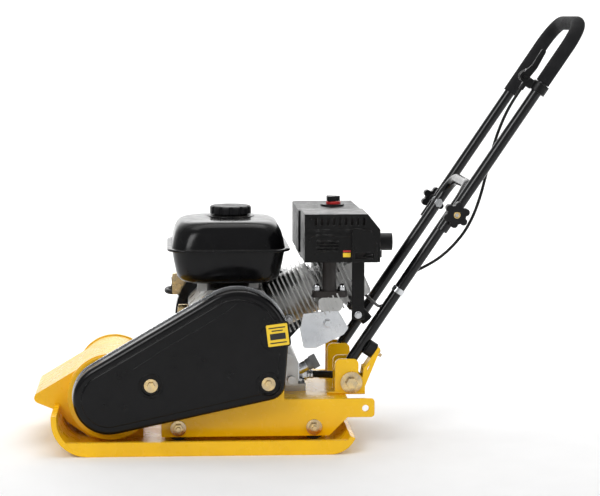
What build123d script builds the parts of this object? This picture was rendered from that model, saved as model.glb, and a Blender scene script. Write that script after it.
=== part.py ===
"""A forward plate compactor: cast base plate, exciter, belt drive, petrol engine and folding handle.

Frame: millimetres, +Z up, +X towards the operator's handle, -Y towards the belt side.
The origin is the middle of the flat underside of the base plate.
"""

from build123d import *
import math
import os

# ---- driving dimensions -------------------------------------------------------------------
# Base plate
PLATE_LENGTH = 488.0
PLATE_WIDTH = 350.0
PLATE_THICKNESS = 9.0
RIM_HEIGHT = 23.0
RIM_THICKNESS = 8.0
FRONT_CURVE_RADIUS = 59.0
FRONT_LIP_HEIGHT = 66.0
REAR_CURVE_RADIUS = 44.6
REAR_LIP_HEIGHT = 26.4

# Exciter: the eccentric shaft and its cast housing
EXCITER_X = -150.0
EXCITER_Z = 85.0
EXCITER_TUBE_RADIUS = 62.0
EXCITER_HALF_LENGTH = 114.0
EXCITER_BORE_RADIUS = 45.0
BEARING_WIDTH = 23.0
BEARING_BORE_RADIUS = 20.0
NOSE_HALF_WIDTH = 76.0
NOSE_X = -268.0
NOSE_Z = 76.0
NOSE_RADIUS = 9.0
COVER_THICKNESS = 8.0
COVER_BOLT_COUNT = 6

# Engine deck, carried on four rubber mounts
DECK_FRONT_X = -68.0
DECK_REAR_X = 236.0
DECK_TAIL_X = 280.0
DECK_HALF_WIDTH = 127.0
DECK_TOP_Z = 81.0
DECK_SHEET = 5.0
DECK_FLANGE_LOW_Z = 20.2
MOUNT_FRONT_X = -40.5
MOUNT_REAR_X = 181.0
MOUNT_Z = 34.6
MOUNT_RADIUS = 21.0
MOUNT_LENGTH = 30.0
TAIL_HOLE_X = 265.2
TAIL_HOLE_Z = 64.8
TAIL_HOLE_RADIUS = 5.6

# Belt drive
CRANK_X = 56.0
CRANK_Z = 187.0
GUARD_BACK_Y = -(DECK_HALF_WIDTH + 3)
GUARD_FACE_Y = GUARD_BACK_Y - 35
BELT_MID_Y = GUARD_BACK_Y - 18
BELT_WIDTH = 10.0
BELT_THICKNESS = 8.0
DRUM_RADIUS = 58.0
EXCITER_PULLEY_RADIUS = 45.0
BELT_TOP_BELOW_RIM = 1.0
RUNNING_GAP = 0.4

# Belt guard
GUARD_SHEET = 3.0
GUARD_PANEL_RISE = 3.0
GUARD_CIRCLES = ((-151.5, 90.0, 58.0), (55.0, 184.0, 82.0), (104.0, 114.0, 28.0))
GUARD_BOLT_PLACES = ((-84.3, 113.1), (104.2, 114.3))

# Engine
CYLINDER_TILT = 25.0
CRANKCASE_HALF_WIDTH = 70.0
CYLINDER_START = 72.0
HEAD_START = 150.0
HEAD_END = 205.0
FIN_PITCH = 7.7
FIN_THICKNESS = 2.6
FIN_HALF_WIDTH = 55.0
BARREL_RADIUS = 42.0
PISTON_RADIUS = 34.0
CRANK_THROW = 22.0
PLUG_RADIUS = 7.0
CRANKCASE_FLOOR_Z = 93.0
CRANKCASE_COVER_THICKNESS = 10.0
FOOT_BOLT_PLACES = ((-32.0, -50.0), (-32.0, 50.0), (166.0, 0.0), (166.0, 50.0))
JOURNAL_RADIUS = 12.5
JOURNAL_BORE_RADIUS = 12.6
BELT_END_RADIUS = 10.0
FLYWHEEL_END_RADIUS = 9.0
FLYWHEEL_RADIUS = 82.0
FLYWHEEL_BLADES = 16
STOP_BOLT = (4.0, 236.0)
SHROUD_BOLT = (205.0, 200.0)

# Recoil starter and stop switch, on the fan's shroud
SHROUD_BACK_Y = 130.0
RECOIL_COVER_RADIUS = 74.0
RECOIL_PIN_RADIUS = 9.0
ROPE_DRUM_RADIUS = 46.0
ROPE_Y = 142.5
ROPE_Z = 221.0
ROPE_RADIUS = 1.9
SWITCH_PIN = (-45.5, 240.0)
ENGINE_CEILING_Z = 300.0
SHROUD_CIRCLES = ((CRANK_X, CRANK_Z, 100.0), (165.0, 215.0, 38.0))

# Fuel tank
TANK_X = 42.8
TANK_Y = -20.0
TANK_LENGTH = 201.0
TANK_DEPTH = 200.0
TANK_SEAM_Z = 321.5
TANK_TOP_Z = 369.0
TANK_BOTTOM_Z = 266.0
TANK_CAP_RADIUS = 34.6
CAP_PLACE = (49.0, 0.0)

# Muffler and air cleaner
MUFFLER_LEFT_X = 161.4
MUFFLER_RIGHT_X = 282.7
MUFFLER_TOP_Z = 388.0
MUFFLER_LOW_Z = 310.6
MUFFLER_FACE_Y = -165.0
MUFFLER_REAR_Y = -77.0
GUARD_WALL = 1.6
PORT_TOP_Z = 248.0
PIPE_PLACE = (206.0, -115.0)
PIPE_RADIUS = 11.4
STAY_X = (243.5, 264.0)
STAY_BOLT = (254.0, 216.0)
AIR_CLEANER_TOP_Z = 383.0
AIR_CLEANER_SEAM_Z = 314.0
AIR_STUD_X = 222.0
AIR_STUD_Y = 18.0

# Small levers by the carburettor
CARBURETTOR_PLACE = (211.0, 83.0)
PIN_RADIUS = 1.9
CHOKE_PLACE = (187.0, 100.0)
CHOKE_Z = 280.0
TAP_PLACE = (184.0, 88.0)
TAP_Z = 258.0

# Handle
HANDLE_LEAN = 56.1
PIVOT_X = 245.2
PIVOT_Z = 100.9
BEND_X = PIVOT_X
BEND_Z = 135.6
LOWER_TUBE_Y = 78.0
TUBE_RADIUS = 9.0
UPPER_TUBE_Y = LOWER_TUBE_Y + 2 * TUBE_RADIUS + 3
TUBE_WALL = 1.8
LOWER_TOP = 348.8
FOLD_AT = 297.0
UPPER_START = 262.0
UPPER_TOP = 669.5
GRIP_RADIUS = TUBE_RADIUS + 2.6
GRIP_NEAR_END = 553.0
GRIP_FAR_END = 525.0
KNOB_RADIUS = 21.7
EAR_SHEET = 4.0
OUTER_EAR_Y = LOWER_TUBE_Y + TUBE_RADIUS + 1 + EAR_SHEET
INNER_EAR_Y = 52.0
STOP_FACE = TUBE_RADIUS + 14.5
STOP_SHEET = 5.0
PIVOT_BOLT_RADIUS = 5.0
FOLD_BOLT_RADIUS = 4.0
LEVER_PIVOT = (2.0, 31.0)
LEVER_PIN_RADIUS = 2.6

# Oil drain
HOSE_RADIUS = 6.0
HOSE_WALL = 2.0
HOSE_START_X = 176.0
HOSE_Y = -30.0
HOSE_Z = 103.0
NECK_Y = -54.0

# Throttle cable
CABLE_RADIUS = 2.5
CLIP_AT = 140.0
CLIP_REACH = TUBE_RADIUS + 5.5
CLIP_Y = -LOWER_TUBE_Y + CLIP_REACH


# ---- helpers ------------------------------------------------------------------------------
def slab(outline, y_low, y_high):
    """An outline drawn in X and Z, made solid from y_low to y_high."""
    return extrude(Plane.XZ.offset(-y_high) * outline, y_high - y_low)


def disc(x, z, radius):
    return Pos(x, z) * Circle(radius)


def rod_y(x, z, radius, y_low, y_high):
    return slab(disc(x, z, radius), y_low, y_high)


def ring_y(x, z, outer, inner, y_low, y_high):
    return slab(disc(x, z, outer) - disc(x, z, inner), y_low, y_high)


def rod_z(x, y, radius, z_low, z_high):
    return Pos(x, y, z_low) * extrude(Circle(radius), z_high - z_low)


def block(x_low, x_high, y_low, y_high, z_low, z_high):
    size = (x_high - x_low, y_high - y_low, z_high - z_low)
    middle = ((x_high + x_low) / 2, (y_high + y_low) / 2, (z_high + z_low) / 2)
    return Pos(*middle) * Box(*size)


def outline(*points):
    return make_face(Polyline(*points, close=True))


def hull(circles, grow=0.0):
    edges = []
    for x, z, radius in circles:
        edges += disc(x, z, radius + grow).edges()
    return make_hull(edges)


def hexagon(across_flats):
    return RegularPolygon(across_flats / 2, 6, major_radius=False)


def mirrored(shape):
    return shape + mirror(shape, about=Plane.XZ)


def group(solids):
    return Compound(children=list(solids))


def along_cylinder():
    """The frame of the engine's cylinder: local X runs up the bore from the crankshaft."""
    return Pos(CRANK_X, 0, CRANK_Z) * Rot(0, -CYLINDER_TILT, 0)


def along_handle():
    """The frame of the handle: local X runs up the straight tubes, -Z is their rear side."""
    return Pos(BEND_X, 0, BEND_Z) * Rot(0, -HANDLE_LEAN, 0)


def handle_point(along, y, rise=0.0):
    """A point given by its distance up the handle, and its rise off the tubes' front side."""
    lean = math.radians(HANDLE_LEAN)
    x = BEND_X + along * math.cos(lean) - rise * math.sin(lean)
    z = BEND_Z + along * math.sin(lean) + rise * math.cos(lean)
    return (x, y, z)


def tube(path, radius, wall=0.0):
    start = Plane(origin=path @ 0, z_dir=path % 0)
    section = Circle(radius)
    if wall:
        section -= Circle(radius - wall)
    return sweep(start * section, path=path)


# ---- base plate and exciter ---------------------------------------------------------------
def plate_section(inset):
    """The pan's side view, inset from the underside, open at the top."""
    front_x = -PLATE_LENGTH / 2
    front = (front_x + FRONT_CURVE_RADIUS, FRONT_CURVE_RADIUS)
    rear_angle = math.degrees(math.acos(1 - REAR_LIP_HEIGHT / REAR_CURVE_RADIUS))
    rear_reach = REAR_CURVE_RADIUS * math.sin(math.radians(rear_angle))
    rear = (PLATE_LENGTH / 2 - rear_reach, REAR_CURVE_RADIUS)
    front_arc = CenterArc(front, FRONT_CURVE_RADIUS - inset, 180, 90)
    floor = Line((front[0], inset), (rear[0], inset))
    rear_arc = CenterArc(rear, REAR_CURVE_RADIUS - inset, -90, rear_angle)
    lip = Line((front_x + inset, FRONT_LIP_HEIGHT), (front_x + inset, front[1]))
    return [lip, front_arc, floor, rear_arc]


def closed_section(lower, upper):
    """The face between two open chains of lines."""
    left = Line(lower[0] @ 0, upper[0] @ 0)
    right = Line(lower[-1] @ 1, upper[-1] @ 1)
    return make_face(Wire(lower + upper + [left, right]))


def make_base_plate():
    half_width = PLATE_WIDTH / 2
    sheet = closed_section(plate_section(0), plate_section(PLATE_THICKNESS))
    pan = slab(sheet, -half_width, half_width)
    underside = plate_section(0)
    top = Line(underside[0] @ 0, underside[-1] @ 1)
    filled = make_face(Wire(underside + [top]))
    band = Pos(0, RIM_HEIGHT / 2) * Rectangle(2 * PLATE_LENGTH, RIM_HEIGHT)
    pan += mirrored(slab(filled & band, half_width - RIM_THICKNESS, half_width))
    notch_half = NOSE_HALF_WIDTH + 4
    pan -= block(-PLATE_LENGTH, EXCITER_X, -notch_half, notch_half, 42, PLATE_LENGTH)
    lug_inner = DECK_HALF_WIDTH - DECK_SHEET - MOUNT_LENGTH - 8
    for x in (MOUNT_FRONT_X, MOUNT_REAR_X):
        lug = block(x - 22, x + 22, lug_inner, lug_inner + 8, PLATE_THICKNESS - 1, MOUNT_Z + 18)
        lug -= rod_y(x, MOUNT_Z, 4.5, lug_inner - 1, lug_inner + 9)
        pan += mirrored(lug)
    return pan


def make_exciter_housing():
    circles = ((EXCITER_X, EXCITER_Z, EXCITER_TUBE_RADIUS), (NOSE_X, NOSE_Z, NOSE_RADIUS))
    nose = hull(circles)
    foot_rear = EXCITER_X + 52
    foot = outline((-243, 62), (-222, 35), (-184, 9), (foot_rear, 9), (foot_rear, 70), (-200, 90))
    body = slab(nose + foot, -NOSE_HALF_WIDTH, NOSE_HALF_WIDTH)
    tube_end = EXCITER_HALF_LENGTH
    body += rod_y(EXCITER_X, EXCITER_Z, EXCITER_TUBE_RADIUS, -tube_end, tube_end)
    body += rod_y(EXCITER_X, EXCITER_Z, EXCITER_TUBE_RADIUS + 9, -tube_end, -tube_end + 9)
    body += rod_y(EXCITER_X, EXCITER_Z, EXCITER_TUBE_RADIUS + 2, tube_end - 9, tube_end)
    body -= rod_y(EXCITER_X, EXCITER_Z, EXCITER_BORE_RADIUS, -tube_end, tube_end)
    pocket = block(NOSE_X + 20, EXCITER_X - 66, -NOSE_HALF_WIDTH + 12, NOSE_HALF_WIDTH - 12, 52, 84)
    return body - pocket


def cover_bolt_places():
    for i in range(COVER_BOLT_COUNT):
        angle = math.radians(360 * i / COVER_BOLT_COUNT + 20)
        yield EXCITER_X + 55 * math.cos(angle), EXCITER_Z + 55 * math.sin(angle)


def make_exciter_covers():
    near_y = -EXCITER_HALF_LENGTH
    near = ring_y(EXCITER_X, EXCITER_Z, 69, 14.5, near_y - COVER_THICKNESS, near_y)
    far_y = EXCITER_HALF_LENGTH
    far = rod_y(EXCITER_X, EXCITER_Z, 62, far_y, far_y + COVER_THICKNESS)
    return group([near, far])


def make_exciter_bearings():
    outer_y = EXCITER_HALF_LENGTH - 10
    inner_y = outer_y - BEARING_WIDTH
    bearings = []
    for low, high in ((-outer_y, -inner_y), (inner_y, outer_y)):
        ring = ring_y(EXCITER_X, EXCITER_Z, EXCITER_BORE_RADIUS, BEARING_BORE_RADIUS, low, high)
        ring -= ring_y(EXCITER_X, EXCITER_Z, 38, 27, high - 1.5, high)
        ring -= ring_y(EXCITER_X, EXCITER_Z, 38, 27, low, low + 1.5)
        bearings.append(ring)
    return group(bearings)


def make_exciter_shaft():
    shaft_radius = BEARING_BORE_RADIUS - 0.03
    end_y = EXCITER_HALF_LENGTH - 8
    shaft = rod_y(EXCITER_X, EXCITER_Z, shaft_radius, -end_y, end_y)
    return shaft + rod_y(EXCITER_X, EXCITER_Z, 14, BELT_MID_Y - 12, -end_y)


def make_eccentric_weight():
    ring = disc(EXCITER_X, EXCITER_Z, EXCITER_BORE_RADIUS - 3)
    ring -= disc(EXCITER_X, EXCITER_Z, BEARING_BORE_RADIUS)
    half = Pos(EXCITER_X, EXCITER_Z - 35) * Rectangle(120, 70)
    return slab(ring & half, -55, 55)


def grooved_pulley(x, z, radius, bore, y_low, y_high):
    groove = BELT_TOP_BELOW_RIM + BELT_THICKNESS + RUNNING_GAP
    half_belt = BELT_WIDTH / 2 + RUNNING_GAP
    wheel = ring_y(x, z, radius, bore, y_low, y_high)
    low = BELT_MID_Y - half_belt
    high = BELT_MID_Y + half_belt
    return wheel - ring_y(x, z, radius + 1, radius - groove, low, high)


def make_exciter_pulley():
    low = BELT_MID_Y - 10
    wheel = grooved_pulley(EXCITER_X, EXCITER_Z, EXCITER_PULLEY_RADIUS, 14, low, BELT_MID_Y + 10)
    return wheel - ring_y(EXCITER_X, EXCITER_Z, 30, 20, low, low + 5)


def belt_loop(drop):
    """The belt's outline, drop below the top of both pulleys' rims."""
    exciter = (EXCITER_X, EXCITER_Z, EXCITER_PULLEY_RADIUS - drop)
    engine = (CRANK_X, CRANK_Z, DRUM_RADIUS - drop)
    return hull((exciter, engine))


def make_drive_belt():
    loop = belt_loop(BELT_TOP_BELOW_RIM) - belt_loop(BELT_TOP_BELOW_RIM + BELT_THICKNESS)
    return slab(loop, BELT_MID_Y - BELT_WIDTH / 2, BELT_MID_Y + BELT_WIDTH / 2)


def make_clutch_drum():
    low = BELT_MID_Y - 10
    bore = BELT_END_RADIUS + 0.05
    drum = grooved_pulley(CRANK_X, CRANK_Z, DRUM_RADIUS, bore, low, BELT_MID_Y + 12)
    return drum - rod_y(CRANK_X, CRANK_Z, DRUM_RADIUS - 12.5, low + 4, BELT_MID_Y + 13)


def make_clutch_hub():
    low = BELT_MID_Y - 4
    shoes = disc(CRANK_X, CRANK_Z, DRUM_RADIUS - 14.5) - disc(CRANK_X, CRANK_Z, BELT_END_RADIUS)
    for angle in (30, 150, 270):
        slot = Rot(0, 0, angle) * Pos(30, 0) * Rectangle(32, 3)
        shoes -= Pos(CRANK_X, CRANK_Z) * slot
    return slab(shoes, low, BELT_MID_Y + 10)


# ---- deck, mounts and belt guard ----------------------------------------------------------
def mount_places():
    for x in (MOUNT_FRONT_X, MOUNT_REAR_X):
        for side in (-1, 1):
            yield x, side


def make_rubber_mounts():
    outer = DECK_HALF_WIDTH - DECK_SHEET
    blocks = []
    for x, side in mount_places():
        ends = sorted((side * outer, side * (outer - MOUNT_LENGTH)))
        blocks.append(rod_y(x, MOUNT_Z, MOUNT_RADIUS, *ends))
    return group(blocks)


def make_mount_fasteners():
    """Outside each mount: a washer, and a nut whose stud end shows."""
    pieces = []
    for x, side in mount_places():
        face = DECK_HALF_WIDTH
        washer = rod_y(x, MOUNT_Z, 13, face, face + 2.5)
        nut = slab(Pos(x, MOUNT_Z) * hexagon(14), face + 2.5, face + 9)
        stud = rod_y(x, MOUNT_Z, 4, face + 9, face + 13)
        for piece in (washer, nut + stud):
            pieces.append(piece if side > 0 else mirror(piece, about=Plane.XZ))
    return group(pieces)


def make_engine_deck():
    low = DECK_FLANGE_LOW_Z
    tail_low = low + 30
    side = outline(
        (DECK_FRONT_X, low), (206, low), (DECK_REAR_X, tail_low),
        (DECK_TAIL_X, tail_low), (DECK_TAIL_X, DECK_TOP_Z), (DECK_FRONT_X, DECK_TOP_Z),
    )
    tail_corners = side.vertices().sort_by(Axis.X)[-2:]
    side = fillet(tail_corners, 6)
    side -= disc(TAIL_HOLE_X, TAIL_HOLE_Z, TAIL_HOLE_RADIUS)
    inner = DECK_HALF_WIDTH - DECK_SHEET
    deck = mirrored(slab(side, inner, DECK_HALF_WIDTH))
    deck += block(DECK_FRONT_X, DECK_REAR_X, -inner, inner, DECK_TOP_Z - DECK_SHEET, DECK_TOP_Z)
    tab = outline((84, DECK_TOP_Z - 1), (132, DECK_TOP_Z - 1), (132, 132), (84, 132))
    tab -= disc(*GUARD_BOLT_PLACES[1], 4.2)
    deck += slab(tab, -DECK_HALF_WIDTH, -inner)
    return deck


def make_belt_guard():
    """A pressed shell: a deep skirt, a rounded edge and a raised inner panel."""
    shell = slab(hull(GUARD_CIRCLES), GUARD_FACE_Y, GUARD_BACK_Y)
    front_edges = shell.faces().sort_by(Axis.Y)[0].edges()
    shell = fillet(front_edges, 9)
    inside = slab(hull(GUARD_CIRCLES, -GUARD_SHEET), GUARD_FACE_Y + GUARD_SHEET, GUARD_BACK_Y)
    inside = fillet(inside.faces().sort_by(Axis.Y)[0].edges(), 6)
    shell -= inside
    panel = slab(hull(GUARD_CIRCLES, -14), GUARD_FACE_Y - GUARD_PANEL_RISE, GUARD_FACE_Y + 1)
    panel = fillet(panel.faces().sort_by(Axis.Y)[0].edges(), 2.5)
    shell += panel
    for x, z in GUARD_BOLT_PLACES:
        shell -= rod_y(x, z, 16, GUARD_FACE_Y - 5, GUARD_FACE_Y + 1)
        shell += ring_y(x, z, 9, 4.5, GUARD_FACE_Y + GUARD_SHEET - 1, GUARD_BACK_Y)
        shell -= rod_y(x, z, 4.5, GUARD_FACE_Y - 6, GUARD_BACK_Y)
    return shell


def make_guard_back_plate():
    back = hull(GUARD_CIRCLES, 2.5) - disc(CRANK_X, CRANK_Z, 30) - disc(EXCITER_X, EXCITER_Z, 24)
    for place in GUARD_BOLT_PLACES:
        back -= disc(*place, 4.2)
    return slab(back, GUARD_BACK_Y, GUARD_BACK_Y + 3)


def make_flange_bolts():
    """The exciter cover's hexagon bolts, and the two washer-head bolts of the belt guard."""
    pieces = []
    cover_y = EXCITER_HALF_LENGTH + COVER_THICKNESS
    for x, z in cover_bolt_places():
        head = slab(Pos(x, z) * hexagon(12), cover_y, cover_y + 5)
        pieces += [head, mirror(head, about=Plane.XZ)]
    face = GUARD_FACE_Y + 1
    for x, z in GUARD_BOLT_PLACES:
        bolt = rod_y(x, z, 11.2, face - 2, face)
        bolt += slab(Pos(x, z) * hexagon(11), face - 7, face - 2)
        bolt += rod_y(x, z, 4, face, GUARD_BACK_Y + 8)
        pieces.append(bolt)
    return group(pieces)


# ---- engine -------------------------------------------------------------------------------
def crankcase_outline(inset=0.0):
    points = (
        (-22 + inset, CRANKCASE_FLOOR_Z), (158 - inset, CRANKCASE_FLOOR_Z),
        (158 - inset, 134), (149 - inset, 150),
        (101 - inset, 254 - inset), (10, 254 - inset), (-22 + inset, 222),
    )
    face = outline(*points)
    return fillet(face.vertices().sort_by(Axis.Y)[2:], 9)


def make_crankcase():
    case = slab(crankcase_outline(), -CRANKCASE_HALF_WIDTH, CRANKCASE_HALF_WIDTH)
    case += block(-42, 172, -62, 62, DECK_TOP_Z, CRANKCASE_FLOOR_Z)
    case -= rod_y(CRANK_X, CRANK_Z, 57, -CRANKCASE_HALF_WIDTH, CRANKCASE_HALF_WIDTH - 8)
    case -= block(10, 120, -CRANKCASE_HALF_WIDTH, CRANKCASE_HALF_WIDTH - 8, 100, CRANK_Z)
    bore = along_cylinder() * Pos(90, 0, 0) * Rot(0, 90, 0) * Cylinder(PISTON_RADIUS + 1, 80)
    case -= bore
    wall_y = CRANKCASE_HALF_WIDTH - 8
    case -= rod_y(CRANK_X, CRANK_Z, JOURNAL_BORE_RADIUS, wall_y - 1, CRANKCASE_HALF_WIDTH + 1)
    for x in (0, 85):
        for y in (-55, 35):
            case += block(x - 8, x + 8, y - 8, y + 8, 250, TANK_BOTTOM_Z)
    return case


def make_crankcase_cover():
    near = -CRANKCASE_HALF_WIDTH
    face = near - CRANKCASE_COVER_THICKNESS
    cover = slab(crankcase_outline(), face, near)
    cover += rod_y(CRANK_X, CRANK_Z, 34, face - 16, face)
    for angle in range(0, 180, 30):
        rib = Pos(CRANK_X, CRANK_Z) * Rot(0, 0, angle) * Rectangle(118, 5)
        cover += slab(rib, face - 6, face)
    cover -= rod_y(CRANK_X, CRANK_Z, JOURNAL_BORE_RADIUS, face - 17, near)
    for x, z in ((128, 184), (140, 142), (147, 104)):
        cover += rod_y(x, z, 7, face - 8, face)
    return cover


def make_crankshaft():
    web_low, web_high = 12, 26
    shaft = rod_y(CRANK_X, CRANK_Z, JOURNAL_RADIUS, -96, -web_high)
    shaft += rod_y(CRANK_X, CRANK_Z, JOURNAL_RADIUS, web_high, 84)
    shaft += rod_y(CRANK_X, CRANK_Z, BELT_END_RADIUS, BELT_MID_Y - 10, -96)
    shaft += rod_y(CRANK_X, CRANK_Z, FLYWHEEL_END_RADIUS, 84, 124)
    web = hull(((CRANK_X, CRANK_Z, 18), (CRANK_X - 26, CRANK_Z - 12, 26)))
    shaft += mirrored(slab(web, web_low, web_high))
    pin_x = CRANK_X - CRANK_THROW * math.cos(math.radians(CYLINDER_TILT))
    pin_z = CRANK_Z - CRANK_THROW * math.sin(math.radians(CYLINDER_TILT))
    return shaft + rod_y(pin_x, pin_z, 13, -web_low, web_low)


def make_piston():
    """The piston at the bottom of its stroke, with its pin."""
    crown = Pos(84, 0, 0) * Rot(0, 90, 0) * Cylinder(PISTON_RADIUS, 42)
    crown -= Pos(78, 0, 0) * Box(42, 26, 44)
    crown += Pos(80, 0, 0) * Rot(90, 0, 0) * Cylinder(7, 40)
    return along_cylinder() * crown


def fin_stack(first, count, low, high):
    """Thin plates across the cylinder, from low to high on its upper side."""
    fins = []
    fin = Box(FIN_THICKNESS, 2 * FIN_HALF_WIDTH, high - low)
    for i in range(count):
        fins.append(Pos(first + i * FIN_PITCH, 0, (low + high) / 2) * fin)
    return fins


def make_cylinder():
    length = HEAD_START - CYLINDER_START
    barrel = Pos(CYLINDER_START + length / 2, 0, 0) * Rot(0, 90, 0) * Cylinder(BARREL_RADIUS, length)
    for fin in fin_stack(CYLINDER_START + 8, 9, -46, 44):
        barrel += fin
    barrel -= Pos(CYLINDER_START, 0, 0) * Rot(0, 90, 0) * Cylinder(PISTON_RADIUS + 0.1, 200)
    return along_cylinder() * barrel - block(0, 400, -80, 80, ENGINE_CEILING_Z, 400)


def make_cylinder_head():
    middle = (HEAD_START + HEAD_END) / 2
    head = Pos(middle, 0, -9) * Box(HEAD_END - HEAD_START, 84, 62)
    for fin in fin_stack(HEAD_START + 3.5, 7, -48, 30):
        head += fin
    head = along_cylinder() * head
    port = block(187, 226, -128, -FIN_HALF_WIDTH, PORT_TOP_Z - 22, PORT_TOP_Z)
    head += fillet(port.edges().filter_by(Axis.Y), 8)
    head += along_cylinder() * Pos(middle, -48, -14) * Box(HEAD_END - HEAD_START - 6, 14, 52)
    head -= plug_axis() * Pos(0, 0, 41) * Cylinder(15, 70)
    head -= plug_axis() * Cylinder(PLUG_RADIUS, 20)
    return head - block(0, 400, -80, 80, ENGINE_CEILING_Z, 400)


def make_valve_cover():
    cover = Pos(HEAD_END + 13, 0, -15) * Box(26, 84, 60)
    cover = fillet(cover.faces().sort_by(Axis.X)[-1].edges(), 8)
    cover += Pos(HEAD_END + 27, 12, -10) * Rot(0, 90, 0) * Cylinder(6, 6)
    return along_cylinder() * cover


def plug_axis():
    """The spark plug's frame: local Z points down and back, out of the head."""
    return Pos(243, -46, 236) * Rot(0, 140, 0)


def make_spark_plug():
    frame = plug_axis()
    shell = frame * Cylinder(PLUG_RADIUS, 20)
    shell += frame * Pos(0, 0, 10) * extrude(hexagon(20), 9)
    cap = frame * Pos(0, 0, 35) * Cylinder(10, 32)
    return group([shell, cap])


def make_flywheel():
    wheel = ring_y(CRANK_X, CRANK_Z, FLYWHEEL_RADIUS, FLYWHEEL_END_RADIUS, 86, 104)
    wheel -= ring_y(CRANK_X, CRANK_Z, FLYWHEEL_RADIUS - 10, 26, 84, 94)
    for i in range(FLYWHEEL_BLADES):
        turn = Rot(0, 0, 360 / FLYWHEEL_BLADES * i)
        blade = Pos(CRANK_X, CRANK_Z) * turn * Pos(FLYWHEEL_RADIUS - 20, 0) * Rectangle(34, 3)
        wheel += slab(blade, 104, 120)
    wheel += ring_y(CRANK_X, CRANK_Z, 24, FLYWHEEL_END_RADIUS, 104, 122)
    return wheel


def make_fan_shroud():
    """The flywheel's housing, and the duct that blows its air over the cylinder."""
    outer_y = SHROUD_BACK_Y
    wall = 2.5
    corner = 10
    shell = slab(hull(SHROUD_CIRCLES), CRANKCASE_HALF_WIDTH, outer_y)
    shell = fillet(shell.faces().sort_by(Axis.Y)[-1].edges(), corner)
    inside = slab(hull(SHROUD_CIRCLES, -wall), CRANKCASE_HALF_WIDTH + 4, outer_y - wall)
    shell -= fillet(inside.faces().sort_by(Axis.Y)[-1].edges(), corner - wall)
    shell -= rod_y(CRANK_X, CRANK_Z, 68, outer_y - 10, outer_y + 1)
    for x, z, radius in ((CRANK_X, CRANK_Z, 26), (158, 214, 30)):
        shell -= rod_y(x, z, radius, CRANKCASE_HALF_WIDTH - 1, CRANKCASE_HALF_WIDTH + 5)
    return shell


def make_recoil_cover():
    base_y = SHROUD_BACK_Y
    top_y = base_y + 30
    wall = 3
    dome = rod_y(CRANK_X, CRANK_Z, RECOIL_COVER_RADIUS, base_y, top_y)
    dome = fillet(dome.faces().sort_by(Axis.Y)[-1].edges(), 10)
    inner_radius = RECOIL_COVER_RADIUS - wall
    inside = rod_y(CRANK_X, CRANK_Z, inner_radius, base_y - 1, top_y - wall)
    dome -= fillet(inside.faces().sort_by(Axis.Y)[-1].edges(), 10 - wall)
    dome += ring_y(CRANK_X, CRANK_Z, RECOIL_COVER_RADIUS + 10, inner_radius, base_y, base_y + wall)
    for i in range(10):
        slot = Pos(CRANK_X, CRANK_Z) * Rot(0, 0, 36 * i) * Pos(50, 0) * SlotOverall(24, 5)
        dome -= slab(slot, top_y - 10, top_y + 2)
    dome += rod_y(CRANK_X, CRANK_Z, RECOIL_PIN_RADIUS, base_y + 4, top_y - 2)
    dome -= slab(Pos(-10, ROPE_Z) * Rectangle(30, 7), ROPE_Y - 3.5, ROPE_Y + 3.5)
    return dome


def make_recoil_pulley():
    rim = ROPE_DRUM_RADIUS + 6
    wheel = ring_y(CRANK_X, CRANK_Z, rim, RECOIL_PIN_RADIUS + 0.05, ROPE_Y - 6.5, ROPE_Y + 6.5)
    return wheel - ring_y(CRANK_X, CRANK_Z, rim + 1, ROPE_DRUM_RADIUS, ROPE_Y - 3, ROPE_Y + 3)


def make_starter_grip():
    """A T-shaped handle with the first length of its rope."""
    bar = Pos(-57, ROPE_Y, ROPE_Z) * Rot(90, 0, 0) * Cylinder(6, 58)
    bar = fillet(bar.edges(), 3)
    neck = Pos(-47, ROPE_Y, ROPE_Z) * Rot(0, 90, 0) * Cylinder(5, 20)
    rope = Pos(-8, ROPE_Y, ROPE_Z) * Rot(0, 90, 0) * Cylinder(ROPE_RADIUS, 60)
    return bar + neck + rope


def make_muffler():
    """A rounded can with a seam, and its pipe down to a two-bolt flange on the head's port."""
    left = MUFFLER_LEFT_X + 7
    right = left + 92
    low = MUFFLER_LOW_Z + 6
    top = MUFFLER_TOP_Z - 7
    body = block(left, right, MUFFLER_FACE_Y + 7, MUFFLER_REAR_Y - 2, low, top)
    body = fillet(body.edges().filter_by(Axis.Y), 12)
    seam = (low + top) / 2
    near = MUFFLER_FACE_Y + 10
    body += block(left - 3, right + 3, near, MUFFLER_REAR_Y - 5, seam - 1.5, seam + 1.5)
    pipe = rod_z(*PIPE_PLACE, PIPE_RADIUS, PORT_TOP_Z + 10, low + 2)
    flange = Pos(*PIPE_PLACE, PORT_TOP_Z) * extrude(SlotOverall(57, 26), 10)
    return body + pipe + flange - rod_z(*PIPE_PLACE, PIPE_RADIUS - 2, PORT_TOP_Z, low - 2)


def guard_section(inset):
    """The muffler guard's front view: a box with its top rear corner cut off."""
    left = MUFFLER_LEFT_X + inset
    right = MUFFLER_RIGHT_X - inset
    top = MUFFLER_TOP_Z - inset
    cut = inset * 0.6
    return outline(
        (left, MUFFLER_LOW_Z), (right, MUFFLER_LOW_Z), (right, MUFFLER_TOP_Z - 25 - cut),
        (MUFFLER_RIGHT_X - 20 - cut, top), (left, top),
    )


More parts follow.
